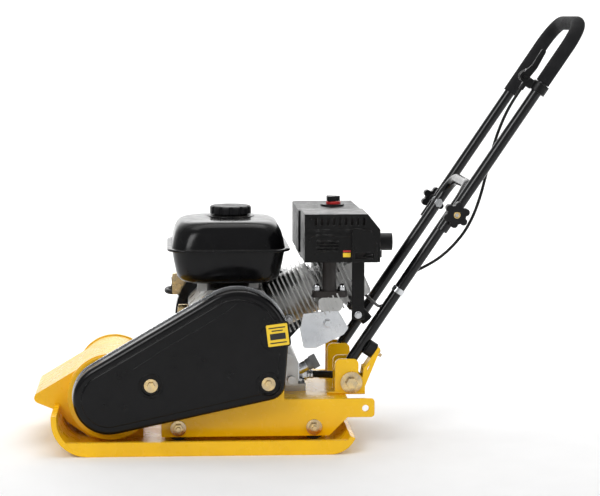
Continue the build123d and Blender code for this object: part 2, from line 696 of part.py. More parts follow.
def make_muffler_guard():
    """A sheet box open below and behind, with slots, louvres, a deflector and a bracket."""
    left = MUFFLER_LEFT_X
    right = MUFFLER_RIGHT_X
    top = MUFFLER_TOP_Z
    face = MUFFLER_FACE_Y
    guard = slab(guard_section(0), face, MUFFLER_REAR_Y)
    guard -= slab(guard_section(GUARD_WALL), face + GUARD_WALL, MUFFLER_REAR_Y + 1)
    guard -= block(left + GUARD_WALL, right - GUARD_WALL, face + GUARD_WALL, MUFFLER_REAR_Y + 1,
                   MUFFLER_LOW_Z - 1, MUFFLER_LOW_Z + 1)
    for i in range(9):
        slot = Pos(left + 18 + 9.6 * i, top - 12) * SlotOverall(12, 4, rotation=90)
        guard -= slab(slot, face - 1, face + 3)
    for z in (top - 26, top - 34):
        guard += block(left + 4, right - 32, face - 1.5, face, z - 1.5, z + 1.5)
    for i in range(4):
        louvre_z = MUFFLER_LOW_Z + 18 + 5 * i
        guard += block(left + 19, left + 54, face - 2.5, face, louvre_z, louvre_z + 2.5)
    deflector = outline((237, 311), (278, 311), (278, 340), (268, 362), (237, 366))
    guard += slab(deflector, face - 6, face)
    guard -= slab(Pos(257, 322) * Rectangle(30, 10), face - 7, face + 3)
    guard += block(*STAY_X, -107, -104, 208, MUFFLER_LOW_Z + 1)
    guard += block(STAY_X[0], right, -107, MUFFLER_REAR_Y, MUFFLER_LOW_Z, MUFFLER_LOW_Z + 2)
    return guard + block(*STAY_X, -107, -FIN_HALF_WIDTH, 236, 239)


def make_air_cleaner_base():
    base = block(164, 300, -60, 96, AIR_CLEANER_SEAM_Z - 11, AIR_CLEANER_SEAM_Z)
    base = fillet(base.edges().filter_by(Axis.Z), 18)
    base += Pos(310, 42, 318) * Rot(0, 90, 0) * Cylinder(15, 34)
    base += block(285, 300, 28, 56, 306, 330)
    return base + rod_z(AIR_STUD_X, AIR_STUD_Y, 4, 310, 372)


def make_air_filter():
    ring = RectangleRounded(96, 110, 20) - RectangleRounded(72, 86, 12)
    return Pos(AIR_STUD_X, AIR_STUD_Y, AIR_CLEANER_SEAM_Z) * extrude(ring, 46)


def air_cleaner_shell(inset):
    """The cover's outside, or its hollow when inset by the wall's thickness."""
    low = AIR_CLEANER_SEAM_Z
    top = AIR_CLEANER_TOP_Z - inset
    left = 159 + inset
    right = 284 - inset
    chamfer_low = AIR_CLEANER_TOP_Z - 19 - inset / 2
    chamfer_left = 262 - inset / 3
    profile = outline(
        (left, low), (right, low), (right, chamfer_low), (chamfer_left, top), (left, top),
    )
    shell = slab(profile, -66 + inset, 100 - inset)
    return fillet(shell.edges().filter_by(Axis.Z), 14 - inset)


def make_air_cleaner_cover():
    shell = air_cleaner_shell(0) - air_cleaner_shell(3)
    top = AIR_CLEANER_TOP_Z
    shell += rod_z(AIR_STUD_X, AIR_STUD_Y, 20, top - 1, top + 3)
    shell += rod_z(AIR_STUD_X, AIR_STUD_Y, 5.6, top + 2, top + 8)
    return shell - rod_z(AIR_STUD_X, AIR_STUD_Y, 4.3, top - 13, top + 9)


def make_air_cleaner_knob():
    lobes = Circle(9)
    for i in range(3):
        lobes += Rot(0, 0, 120 * i) * Pos(7.5, 0) * Circle(5.6)
    knob = Pos(AIR_STUD_X, AIR_STUD_Y, AIR_CLEANER_TOP_Z + 8.4) * extrude(lobes, 8)
    return knob + rod_z(AIR_STUD_X, AIR_STUD_Y, 3.9, 372.2, AIR_CLEANER_TOP_Z + 9)


def make_carburettor():
    body = block(192, 230, 66, 100, 266, 301)
    body = fillet(body.edges().filter_by(Axis.Z), 6)
    body += rod_z(*CARBURETTOR_PLACE, 17, 246, 268)
    body += rod_y(210, 280, 13, FIN_HALF_WIDTH, 67)
    body += rod_z(*CARBURETTOR_PLACE, 14, 300, 303)
    body += block(228, 248, 83, 97, LOWER_CABLE[-1][2], LOWER_CABLE[-1][2] + 3)
    body += block(180, 200, 92, 104, CHOKE_Z - 4, CHOKE_Z)
    body += rod_z(*CHOKE_PLACE, PIN_RADIUS, CHOKE_Z - 1, CHOKE_Z + 11)
    body += block(178, 205, 82, 94, TAP_Z - 4, TAP_Z)
    body += rod_z(*TAP_PLACE, PIN_RADIUS, TAP_Z - 1, TAP_Z + 11)
    return body


def small_lever(x, y, z, length):
    """A flat lever on an upright pin: its hub, its arm and the pad that a finger pushes."""
    hub_radius = 3.7
    lever = rod_z(x, y, hub_radius, z + 0.1, z + 10)
    lever += block(x - hub_radius, x + hub_radius, y, y + length, z + 4, z + 7)
    lever += rod_z(x, y + length - 4, 7, z + 3, z + 8)
    return lever - rod_z(x, y, PIN_RADIUS + 0.05, z, z + 11)


def make_choke_lever():
    return small_lever(*CHOKE_PLACE, CHOKE_Z, 30)


def make_fuel_tap_lever():
    return small_lever(*TAP_PLACE, TAP_Z, 28)


def make_fuel_tank():
    """Two tapered halves joined at a flange, hollow, with a filler neck under the cap."""
    seam = Pos(TANK_X, TANK_Y, TANK_SEAM_Z)
    flange = seam * extrude(RectangleRounded(TANK_LENGTH, TANK_DEPTH, 34), 3)
    half = RectangleRounded(TANK_LENGTH - 16, TANK_DEPTH - 16, 34)
    upper = seam * extrude(half, TANK_TOP_Z - TANK_SEAM_Z, taper=9)
    upper = fillet(upper.faces().sort_by(Axis.Z)[-1].edges(), 12)
    lower = seam * extrude(half, TANK_BOTTOM_Z - TANK_SEAM_Z, taper=20)
    lower = fillet(lower.faces().sort_by(Axis.Z)[0].edges(), 8)
    tank = flange + upper + lower + rod_z(*CAP_PLACE, 27, TANK_TOP_Z - 6, TANK_TOP_Z + 8)
    hollow = RectangleRounded(136, 136, 28)
    tank -= Pos(TANK_X, TANK_Y, TANK_BOTTOM_Z + 4) * extrude(hollow, 96)
    return tank - rod_z(*CAP_PLACE, 22, TANK_TOP_Z - 20, TANK_TOP_Z + 9)


def make_fuel_cap():
    cap = rod_z(*CAP_PLACE, TANK_CAP_RADIUS, TANK_TOP_Z + 4, TANK_TOP_Z + 17)
    cap = fillet(cap.faces().sort_by(Axis.Z)[-1].edges(), 4)
    x, y = CAP_PLACE
    reach = TANK_CAP_RADIUS + 1
    for i in range(12):
        angle = math.radians(30 * i)
        place = (x + reach * math.cos(angle), y + reach * math.sin(angle))
        cap -= rod_z(*place, 4, TANK_TOP_Z + 3, TANK_TOP_Z + 20)
    return cap - rod_z(*CAP_PLACE, 27.4, TANK_TOP_Z, TANK_TOP_Z + 8.4)


def make_lower_shroud():
    """A bent zinc sheet under the cylinder, with a lip along its lower edge."""
    corners = ((165, 216), (222, 222), (240, 192), (232, 181), (186, 158.6), (166, 159), (160, 190))
    face = outline(*corners)
    face = fillet(face.vertices(), 4)
    sheet = slab(face, -92, -90) + rod_y(*SHROUD_BOLT, 8, -90, -FIN_HALF_WIDTH)
    inner = Pos(200, 191) * scale(Pos(-200, -191) * face, by=0.95)
    rim = (face - inner) & (Pos(200, 166) * Rectangle(120, 36))
    return sheet + slab(rim, -90, -60)


def make_oil_neck():
    """The drain pipe out of the crankcase: a neck that rises to its cap, and a hose fitting."""
    foot = Pos(163, HOSE_Y, HOSE_Z) * Rot(0, 90, 0) * Cylinder(7, 10)
    foot += Pos(168, HOSE_Y, HOSE_Z) * Rot(0, 90, 0) * extrude(hexagon(17), 8)
    spigot_end = HOSE_START_X + 9
    spigot = Pos(spigot_end - 6, HOSE_Y, HOSE_Z) * Rot(0, 90, 0)
    foot += spigot * Cylinder(HOSE_RADIUS - HOSE_WALL, 12)
    neck = neck_frame() * Pos(0, 0, -2) * Cylinder(9, 22)
    neck += block(158, 161, NECK_Y - 13, NECK_Y + 13, 102, 127)
    neck -= neck_frame() * Pos(0, 0, 4) * Cylinder(5, 20)
    return group([foot, neck - block(100, 158, -100, 100, 0, 200)])


def neck_frame():
    """The neck's frame: its origin is inside the mouth, +Z leans up and back out of it."""
    return Pos(167, NECK_Y, 119) * Rot(0, 62, 0)


def make_oil_cap():
    """A ribbed plug that screws into the neck; its grip stands square to the neck."""
    cap = Pos(0, 0, 13) * Cylinder(10, 8)
    cap += Pos(0, 0, 22) * Box(22, 10, 12)
    return neck_frame() * (cap + Pos(0, 0, 4) * Cylinder(4.9, 14))


def make_engine_switch():
    """A rocker pressed in at its top, on a pin through its box."""
    rocker = outline((-45, 229.5), (-52.5, 229.5), (-49.8, 240), (-50.5, 250.5), (-45, 250.5))
    return slab(rocker, 92.8, 103.7) + rod_y(*SWITCH_PIN, 1.5, 90, 106)


def make_engine_controls():
    """The switch's box on the shroud, and the zinc throttle plate with its stop bolt."""
    box = block(-49, -22, 88, 108, 222, 258)
    box = fillet(box.edges().filter_by(Axis.Y), 3)
    box -= slab(hull(SHROUD_CIRCLES), CRANKCASE_HALF_WIDTH, SHROUD_BACK_Y)
    box -= block(-50, -41, 92.5, 104, 227, 253) + rod_y(*SWITCH_PIN, 1.55, 90, 106)
    plate = block(-25, -22, -58, -20, 196, 222)
    plate += Pos(-32, -40, 214) * Rot(0, 90, 0) * Cylinder(11, 14)
    plate += Pos(-41, -40, 214) * Rot(0, 90, 0) * extrude(hexagon(11), 3)
    face = -CRANKCASE_HALF_WIDTH - CRANKCASE_COVER_THICKNESS
    bolt = rod_y(*STOP_BOLT, 8, face - 3, face)
    bolt += slab(Pos(*STOP_BOLT) * hexagon(12), face - 9, face - 3)
    return group([box, plate, bolt])


def make_engine_fasteners():
    """Dome nuts of the exhaust flange, foot bolts, shroud bolt, bracket bolt and hose clamps."""
    pieces = []
    pipe_x, pipe_y = PIPE_PLACE
    for x in (pipe_x - 20.5, pipe_x + 20.5):
        nut = Pos(x, pipe_y, PORT_TOP_Z + 10) * extrude(hexagon(12), 6)
        pieces.append(nut + Pos(x, pipe_y, PORT_TOP_Z + 16) * Sphere(5.4))
    for x, y in FOOT_BOLT_PLACES:
        pieces.append(Pos(x, y, CRANKCASE_FLOOR_Z) * extrude(hexagon(13), 7))
    pieces.append(rod_y(*SHROUD_BOLT, 7, -94, -92) + slab(Pos(*SHROUD_BOLT) * hexagon(10), -99, -94))
    pieces.append(rod_y(*STAY_BOLT, 6, -109, -107) + slab(Pos(*STAY_BOLT) * hexagon(8), -113, -109))
    for x in (HOSE_START_X + 2.6, HOSE_START_X + 7.7):
        ring = Cylinder(HOSE_RADIUS + 1.2, 4) - Cylinder(HOSE_RADIUS, 5)
        band = Pos(x, HOSE_Y, HOSE_Z) * Rot(0, 90, 0) * ring
        ear = block(x - 2, x + 2, HOSE_Y - 11, HOSE_Y - 7, HOSE_Z - 3, HOSE_Z + 3)
        pieces.append(band + ear)
    return group(pieces)


def make_drain_hose():
    """The oil drain hose: it leaves the fitting and curves out over the deck's rear edge."""
    radii = arc_radii(HOSE_ROUTE)
    print("drain hose radii", [round(r, 1) for r in radii])
    hose = tube(FilletPolyline(*HOSE_ROUTE, radius=radii), HOSE_RADIUS, HOSE_WALL)
    section = math.pi * (HOSE_RADIUS**2 - (HOSE_RADIUS - HOSE_WALL) ** 2)
    print("drain hose length", round(hose.volume / section, 1))
    return hose


# ---- handle -------------------------------------------------------------------------------
def make_handle_bracket():
    """Two forks on the deck, each of two ears; the near one carries the stop's arm."""
    ear = outline(
        (218, DECK_TOP_Z), (268, DECK_TOP_Z), (268, 104), (257, 116), (257, 140), (218, 140),
    )
    top = ear.vertices().group_by(Axis.Y)[-1]
    ear = fillet(top, 9) - disc(PIVOT_X, PIVOT_Z, PIVOT_BOLT_RADIUS + 0.2)
    bracket = slab(ear, INNER_EAR_Y, INNER_EAR_Y + EAR_SHEET)
    bracket += slab(ear, OUTER_EAR_Y - EAR_SHEET, OUTER_EAR_Y)
    bracket += block(205, 268, INNER_EAR_Y, OUTER_EAR_Y, DECK_TOP_Z, DECK_TOP_Z + 3)
    bracket = mirrored(bracket)
    back = STOP_FACE + STOP_SHEET
    arm = outline(
        (263, 100), (268, 94), handle_point(44, 0, -back)[::2], handle_point(44, 0, -STOP_FACE - 0.1)[::2],
    )
    web = slab(arm, -OUTER_EAR_Y, -OUTER_EAR_Y + EAR_SHEET)
    middle = STOP_FACE + STOP_SHEET / 2
    stop = along_handle() * Pos(22, -(OUTER_EAR_Y - 14), -middle) * Box(44, 28, STOP_SHEET)
    stop -= stop_axis() * Pos(0, 0, -middle) * Cylinder(3.2, 12)
    rear = handle_point(6, 0, -back)[::2]
    front = handle_point(2, 0, -STOP_FACE)[::2]
    lower = outline((262, 96), (268, 96), rear, front)
    link = slab(lower, -OUTER_EAR_Y, -INNER_EAR_Y)
    return bracket + web + stop + link


def stop_axis():
    """The buffer's frame: its origin is on the near tube's middle line, +Z to the front."""
    return along_handle() * Pos(34, -LOWER_TUBE_Y, 0)


def make_stop_buffer():
    """The rubber block that the near tube rests on, almost touching it."""
    front = TUBE_RADIUS + 0.35
    return stop_axis() * Pos(0, 0, -(front + STOP_FACE) / 2) * Cylinder(13, STOP_FACE - front)


def make_bracket_fasteners():
    """The pivot bolts with their large washers, and the buffer's stud and nut."""
    washer_y = OUTER_EAR_Y
    bolt = rod_y(PIVOT_X, PIVOT_Z, 18, washer_y, washer_y + 3)
    bolt += slab(Pos(PIVOT_X, PIVOT_Z) * hexagon(17), washer_y + 3, washer_y + 11)
    bolt += rod_y(PIVOT_X, PIVOT_Z, PIVOT_BOLT_RADIUS, INNER_EAR_Y - 10, washer_y)
    bolt += slab(Pos(PIVOT_X, PIVOT_Z) * hexagon(17), INNER_EAR_Y - 8, INNER_EAR_Y)
    nut_height = 4.4
    back = STOP_FACE + STOP_SHEET
    nut = stop_axis() * Pos(0, 0, -STOP_FACE - 7.5) * Cylinder(3, 15)
    nut += stop_axis() * Pos(0, 0, -back - 0.1 - nut_height) * extrude(hexagon(12), nut_height)
    return group([bolt, mirror(bolt, about=Plane.XZ), nut])


def make_lower_handle():
    """An inverted U of tube whose legs stand upright in the bracket, with welded pivot sleeves."""
    y = LOWER_TUBE_Y
    points = (
        (PIVOT_X, -y, PIVOT_Z - 12), (PIVOT_X, -y, BEND_Z), handle_point(LOWER_TOP, -y),
        handle_point(LOWER_TOP, y), (PIVOT_X, y, BEND_Z), (PIVOT_X, y, PIVOT_Z - 12),
    )
    frame = tube(FilletPolyline(*points, radius=[18, 34, 34, 18]), TUBE_RADIUS, TUBE_WALL)
    sleeve_low = INNER_EAR_Y + EAR_SHEET + 0.4
    sleeve_high = OUTER_EAR_Y - EAR_SHEET - 0.4
    frame += mirrored(rod_y(PIVOT_X, PIVOT_Z, 13, sleeve_low, sleeve_high))
    bore = PIVOT_BOLT_RADIUS + 0.1
    frame -= mirrored(rod_y(PIVOT_X, PIVOT_Z, bore, sleeve_low - 1, sleeve_high + 1))
    fold = handle_point(FOLD_AT, 0)
    frame -= rod_y(fold[0], fold[2], FOLD_BOLT_RADIUS + 0.2, -y - 20, y + 20)
    return frame


def make_upper_handle():
    y = UPPER_TUBE_Y
    points = (
        handle_point(UPPER_START, -y), handle_point(UPPER_TOP, -y),
        handle_point(UPPER_TOP, y), handle_point(UPPER_START, y),
    )
    bail = tube(FilletPolyline(*points, radius=46), TUBE_RADIUS, TUBE_WALL)
    fold = handle_point(FOLD_AT, 0)
    return bail - rod_y(fold[0], fold[2], FOLD_BOLT_RADIUS + 0.2, -y - 20, y + 20)


def make_handle_grip():
    y = UPPER_TUBE_Y
    points = (
        handle_point(GRIP_NEAR_END, -y), handle_point(UPPER_TOP, -y),
        handle_point(UPPER_TOP, y), handle_point(GRIP_FAR_END, y),
    )
    path = FilletPolyline(*points, radius=46)
    section = Plane(origin=path @ 0, z_dir=path % 0) * (Circle(GRIP_RADIUS) - Circle(TUBE_RADIUS))
    return sweep(section, path=path)


def make_handle_fasteners():
    """The two bolts that the star knobs clamp, and the clip that holds the throttle cable."""
    fold = handle_point(FOLD_AT, 0)
    inner = LOWER_TUBE_Y - TUBE_RADIUS
    bolt_end = UPPER_TUBE_Y + TUBE_RADIUS + 24
    bolt = rod_y(fold[0], fold[2], FOLD_BOLT_RADIUS, inner - 2, bolt_end)
    bolt += slab(Pos(fold[0], fold[2]) * hexagon(13), inner - 7, inner - 1.4)
    gap_low = LOWER_TUBE_Y + TUBE_RADIUS
    bolt += rod_y(fold[0], fold[2], 9, gap_low, UPPER_TUBE_Y - TUBE_RADIUS - 0.2)
    clip = clip_frame() * (Cylinder(TUBE_RADIUS + 2, 9) - Cylinder(TUBE_RADIUS, 10))
    clip += clip_frame() * Pos(0, CLIP_REACH, 0) * Box(5, 9, 9)
    return group([bolt, mirror(bolt, about=Plane.XZ), clip])


def clip_frame():
    """Round the near lower tube: local Z runs down the tube, local Y is away from the belt."""
    return along_handle() * Pos(CLIP_AT, -LOWER_TUBE_Y, 0) * Rot(0, 90, 0)


def make_star_knob(side):
    """A six-lobed knob with a brass insert's boss, screwed onto the fold bolt."""
    lobes = Circle(KNOB_RADIUS - 6)
    for i in range(6):
        lobes += Rot(0, 0, 60 * i + 15) * Pos(KNOB_RADIUS - 6, 0) * Circle(6)
    fold = handle_point(FOLD_AT, 0)
    start = UPPER_TUBE_Y + TUBE_RADIUS + 0.3
    head = slab(Pos(fold[0], fold[2]) * lobes, start + 9, start + 25)
    head = fillet(head.faces().sort_by(Axis.Y)[-1].edges(), 2)
    knob = head + rod_y(fold[0], fold[2], 10, start, start + 10)
    knob -= rod_y(fold[0], fold[2], FOLD_BOLT_RADIUS + 0.05, start - 1, start + 26)
    return knob if side > 0 else mirror(knob, about=Plane.XZ)


def lever_frame():
    return along_handle() * Pos(GRIP_NEAR_END - 10, -UPPER_TUBE_Y, 0)


def make_throttle_clamp():
    """A split clamp round the near tube, with the lever's boss on its front."""
    ring = Cylinder(TUBE_RADIUS + 5, 16) - Cylinder(TUBE_RADIUS, 17)
    clamp = lever_frame() * Rot(0, 90, 0) * ring
    clamp += lever_frame() * Pos(-2, 0, 20.5) * Box(16, 8, 15)
    along, rise = LEVER_PIVOT
    boss = lever_frame() * Pos(along, 0, rise) * Rot(90, 0, 0) * Cylinder(7, 8)
    boss += lever_frame() * Pos(-12, 0, 24) * Rot(0, 90, 0) * Cylinder(4.2, 12)
    screw = lever_frame() * Pos(along, 0, rise) * Rot(90, 0, 0) * Cylinder(LEVER_PIN_RADIUS, 24)
    return clamp + boss + screw


def make_throttle_lever():
    """A cranked lever on the boss: two cheeks that join into one blade beside the grip."""
    hub = disc(*LEVER_PIVOT, 8.5)
    bore = disc(*LEVER_PIVOT, LEVER_PIN_RADIUS + 0.1)
    blade = hub + hull(((*LEVER_PIVOT, 7), (24, 27, 5))) + hull(((24, 27, 5), (52, 29, 4.2)))
    blade -= bore
    lever = along_lever_plane() * Pos(0, 0, 4.4) * extrude(blade, 3)
    far = hull(((*LEVER_PIVOT, 8.5), (13, LEVER_PIVOT[1], 4))) - bore
    lever += along_lever_plane() * Pos(0, 0, -7.4) * extrude(far, 3)
    bridge = lever_frame() * Pos(12.5, 0, 31) * Box(3, 14.6, 9)
    return lever + bridge


def along_lever_plane():
    """A plane along the handle, square to Y, that faces the belt side."""
    return lever_frame() * Rot(90, 0, 0)


# ---- throttle cable -----------------------------------------------------------------------
def arc_radii(points):
    """One radius per inner point: 0.45 of the shorter run over the tangent of half the turn."""
    radii = []
    for before, here, after in zip(points, points[1:], points[2:]):
        first = Vector(*here) - Vector(*before)
        second = Vector(*after) - Vector(*here)
        half_turn = math.radians(first.get_angle(second) / 2)
        radii.append(0.45 * min(first.length, second.length) / math.tan(half_turn))
    return radii


UPPER_CABLE = (
    handle_point(525.0, -UPPER_TUBE_Y, 24.0), handle_point(500.0, -UPPER_TUBE_Y, 24.0),
    handle_point(474.0, -94.0, 20.0), handle_point(445.0, -85.0, 12.0),
    handle_point(413.0, -81.5, 1.0), handle_point(380.0, -83.0, -11.0),
    handle_point(347.0, -89.0, -22.0), handle_point(314.0, -94.0, -30.0),
    handle_point(282.0, -93.0, -34.0), handle_point(250.0, -87.0, -32.0),
    handle_point(220.0, -78.0, -26.0), handle_point(192.0, -68.0, -14.0),
    handle_point(168.0, CLIP_Y, 0.0), handle_point(144.5, CLIP_Y, 0.0),
)
LOWER_CABLE = (
    handle_point(135.5, CLIP_Y, 0.0), handle_point(119.0, CLIP_Y, 0.0), (303.0, -53.0, 223.0),
    (297.0, -32.0, 217.5), (295.0, -6.0, 217.0), (291.0, 20.0, 220.0), (281.0, 44.0, 227.0),
    (265.0, 65.0, 238.0), (249.0, 82.0, 251.0), (241.0, 90.0, 266.0), (241.0, 90.0, 283.0),
)
HOSE_ROUTE = (
    (HOSE_START_X, HOSE_Y, HOSE_Z), (195.0, HOSE_Y, HOSE_Z), (213.7, -26.7, 101.5),
    (231.1, -19.0, 99.0), (246.1, -7.3, 96.0), (257.8, 7.7, 92.5), (266.1, 24.8, 88.5),
)


def make_cable(name, points):
    radii = arc_radii(points)
    print(name, "radii", [round(r, 1) for r in radii])
    cable = tube(FilletPolyline(*points, radius=radii), CABLE_RADIUS)
    length = cable.volume / (math.pi * CABLE_RADIUS**2)
    print(name, "length", round(length, 1))
    return cable


# ---- the parts ----------------------------------------------------------------------------
PARTS = {
    "base_plate": make_base_plate,
    "exciter_housing": make_exciter_housing,
    "exciter_covers": make_exciter_covers,
    "exciter_bearings": make_exciter_bearings,
    "exciter_shaft": make_exciter_shaft,
    "eccentric_weight": make_eccentric_weight,
    "exciter_pulley": make_exciter_pulley,
    "drive_belt": make_drive_belt,
    "clutch_drum": make_clutch_drum,
    "clutch_hub": make_clutch_hub,
    "rubber_mounts": make_rubber_mounts,
    "mount_fasteners": make_mount_fasteners,
    "engine_deck": make_engine_deck,
    "belt_guard": make_belt_guard,
    "guard_back_plate": make_guard_back_plate,
    "flange_bolts": make_flange_bolts,
    "crankcase": make_crankcase,
    "crankcase_cover": make_crankcase_cover,
    "crankshaft": make_crankshaft,
    "piston": make_piston,
    "cylinder": make_cylinder,
    "cylinder_head": make_cylinder_head,
    "valve_cover": make_valve_cover,
    "spark_plug": make_spark_plug,
    "flywheel": make_flywheel,
    "fan_shroud": make_fan_shroud,
    "recoil_cover": make_recoil_cover,
    "recoil_pulley": make_recoil_pulley,
    "starter_grip": make_starter_grip,
    "muffler": make_muffler,
    "muffler_guard": make_muffler_guard,
    "air_cleaner_base": make_air_cleaner_base,
    "air_filter": make_air_filter,
    "air_cleaner_cover": make_air_cleaner_cover,
    "air_cleaner_knob": make_air_cleaner_knob,
    "carburettor": make_carburettor,
    "choke_lever": make_choke_lever,
    "fuel_tap_lever": make_fuel_tap_lever,
    "fuel_tank": make_fuel_tank,
    "fuel_cap": make_fuel_cap,
    "lower_shroud": make_lower_shroud,
    "oil_neck": make_oil_neck,
    "oil_cap": make_oil_cap,
    "drain_hose": make_drain_hose,
    "engine_switch": make_engine_switch,
    "engine_controls": make_engine_controls,
    "engine_fasteners": make_engine_fasteners,
    "handle_bracket": make_handle_bracket,
    "stop_buffer": make_stop_buffer,
    "bracket_fasteners": make_bracket_fasteners,
    "lower_handle": make_lower_handle,
    "upper_handle": make_upper_handle,
    "handle_grip": make_handle_grip,
    "handle_fasteners": make_handle_fasteners,
    "star_knob_near": lambda: make_star_knob(-1),
    "star_knob_far": lambda: make_star_knob(1),
    "throttle_clamp": make_throttle_clamp,
    "throttle_lever": make_throttle_lever,
    "throttle_cable_upper": lambda: make_cable("upper cable", UPPER_CABLE),
    "throttle_cable_lower": lambda: make_cable("lower cable", LOWER_CABLE),
}

os.makedirs("parts", exist_ok=True)
for node, make in PARTS.items():
    export_step(make(), f"parts/{node}.step")
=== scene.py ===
import math

import bmesh
import bpy
from mathutils import Matrix, Vector


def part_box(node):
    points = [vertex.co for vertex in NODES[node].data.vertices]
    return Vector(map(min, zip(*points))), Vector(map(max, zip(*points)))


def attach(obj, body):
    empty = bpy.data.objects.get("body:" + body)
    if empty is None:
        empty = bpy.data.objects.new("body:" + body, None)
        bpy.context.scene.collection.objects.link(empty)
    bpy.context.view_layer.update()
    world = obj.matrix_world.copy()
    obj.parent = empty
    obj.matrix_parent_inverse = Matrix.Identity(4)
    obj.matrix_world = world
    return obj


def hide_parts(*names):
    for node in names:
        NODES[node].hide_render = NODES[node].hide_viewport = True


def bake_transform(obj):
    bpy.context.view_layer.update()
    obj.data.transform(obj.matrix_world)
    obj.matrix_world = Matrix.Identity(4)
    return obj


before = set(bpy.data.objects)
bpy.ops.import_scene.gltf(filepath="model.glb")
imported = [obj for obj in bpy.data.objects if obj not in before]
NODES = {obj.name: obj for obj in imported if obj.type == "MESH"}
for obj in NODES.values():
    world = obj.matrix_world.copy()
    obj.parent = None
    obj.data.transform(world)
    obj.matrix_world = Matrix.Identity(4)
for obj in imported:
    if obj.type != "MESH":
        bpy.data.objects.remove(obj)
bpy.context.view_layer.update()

# The looks of a forward plate compactor: camera, light, materials, cables and small fittings.
# Everything is in metres, in the frame of the CAD model.


# ---- camera, floor and light ---------------------------------------------------------------
CAMERA_PLACE = (-0.05825, -3.0, 0.70028)
CAMERA_YAW = math.radians(3.12)
CAMERA_PITCH = math.radians(5.81)
CAMERA_ROLL = math.radians(0.11)
CAMERA_LENS = 107.8
CAMERA_SHIFT = (0.06, -0.08)


def make_camera():
    data = bpy.data.cameras.new("camera")
    data.sensor_width = 36.0
    data.lens = CAMERA_LENS
    data.shift_x, data.shift_y = CAMERA_SHIFT
    camera = bpy.data.objects.new("camera", data)
    bpy.context.scene.collection.objects.link(camera)
    turn = Matrix.Rotation(-CAMERA_YAW, 4, "Z")
    tilt = Matrix.Rotation(math.pi / 2 - CAMERA_PITCH, 4, "X")
    roll = Matrix.Rotation(CAMERA_ROLL, 4, "Z")
    camera.matrix_world = Matrix.Translation(CAMERA_PLACE) @ turn @ tilt @ roll
    bpy.context.scene.camera = camera


def add_light(name, place, target, width, height, power):
    data = bpy.data.lights.new(name, "AREA")
    data.shape = "RECTANGLE"
    data.size = width
    data.size_y = height
    data.energy = power
    light = bpy.data.objects.new(name, data)
    bpy.context.scene.collection.objects.link(light)
    light.location = place
    direction = Vector(target) - Vector(place)
    light.rotation_euler = direction.to_track_quat("-Z", "Y").to_euler()


def make_studio():
    centre = (0.15, 0.0, 0.3)
    add_light("key", (-1.6, -2.2, 2.0), centre, 1.2, 1.2, 34)
    add_light("top", (0.1, 0.1, 2.4), centre, 2.4, 1.2, 20)
    add_light("fill", (2.2, -1.6, 1.0), centre, 0.8, 1.6, 12)
    add_light("back", (0.6, 2.4, 1.6), centre, 2.4, 1.2, 12)
    add_light("backdrop", (0.0, 1.2, 3.2), (0.0, 4.4, 1.6), 3.5, 1.0, 170)
    world = bpy.data.worlds.new("studio")
    bpy.context.scene.world = world
    world.use_nodes = True
    background = world.node_tree.nodes["Background"]
    background.inputs["Color"].default_value = (1.0, 1.0, 1.0, 1.0)
    background.inputs["Strength"].default_value = 0.42
    bpy.context.scene.view_settings.view_transform = "Standard"


def make_floor():
    """A pale sheet that lies flat under the machine and sweeps up far behind it."""
    half_width = 9.0
    front = -9.0
    back = 3.0
    sweep_radius = 1.5
    height = 7.0
    profile = [(front, 0.0), (back, 0.0)]
    steps = 24
    for i in range(1, steps + 1):
        angle = math.pi / 2 * i / steps
        profile.append((back + sweep_radius * math.sin(angle), sweep_radius * (1 - math.cos(angle))))
    profile.append((back + sweep_radius, height))
    mesh = bpy.data.meshes.new("floor")
    corners = [(side * half_width, y, z) for y, z in profile for side in (-1, 1)]
    faces = [(2 * i, 2 * i + 1, 2 * i + 3, 2 * i + 2) for i in range(len(profile) - 1)]
    mesh.from_pydata(corners, [], faces)
    mesh.polygons.foreach_set("use_smooth", [True] * len(faces))
    floor = bpy.data.objects.new("floor", mesh)
    bpy.context.scene.collection.objects.link(floor)
    material = surface("floor_paper", (0.90, 0.90, 0.90), 0.8, mottle=0.01, grain=0.02)
    mesh.materials.append(material)


# ---- materials -----------------------------------------------------------------------------
def ramp(tree, source, low, high, start=0.0, end=1.0):
    """Maps a value from low..high to start..end, clamped."""
    node = tree.nodes.new("ShaderNodeMapRange")
    node.inputs["From Min"].default_value = low
    node.inputs["From Max"].default_value = high
    node.inputs["To Min"].default_value = start
    node.inputs["To Max"].default_value = end
    tree.links.new(source, node.inputs["Value"])
    return node.outputs["Result"]


def noise(tree, coordinates, scale, detail=3.0):
    node = tree.nodes.new("ShaderNodeTexNoise")
    node.inputs["Scale"].default_value = scale
    node.inputs["Detail"].default_value = detail
    tree.links.new(coordinates, node.inputs["Vector"])
    return node.outputs["Fac"]


def mix_colour(tree, amount, first, second):
    """Mixes two colours, each a plain tuple or another node's output."""
    node = tree.nodes.new("ShaderNodeMix")
    node.data_type = "RGBA"
    tree.links.new(amount, node.inputs[0])
    for socket, value in ((node.inputs[6], first), (node.inputs[7], second)):
        if isinstance(value, tuple):
            socket.default_value = (*value, 1.0)
        else:
            tree.links.new(value, socket)
    return node.outputs[2]


def times(tree, first, second):
    node = tree.nodes.new("ShaderNodeMath")
    node.operation = "MULTIPLY"
    tree.links.new(first, node.inputs[0])
    tree.links.new(second, node.inputs[1])
    return node.outputs[0]


def edge_mask(tree, rounded, low, high):
    """High along the edges, where the rounded normal leaves the flat one."""
    flat = tree.nodes.new("ShaderNodeNewGeometry").outputs["Normal"]
    dot = tree.nodes.new("ShaderNodeVectorMath")
    dot.operation = "DOT_PRODUCT"
    tree.links.new(rounded, dot.inputs[0])
    tree.links.new(flat, dot.inputs[1])
    return ramp(tree, dot.outputs["Value"], 1.0 - low, 1.0 - high)


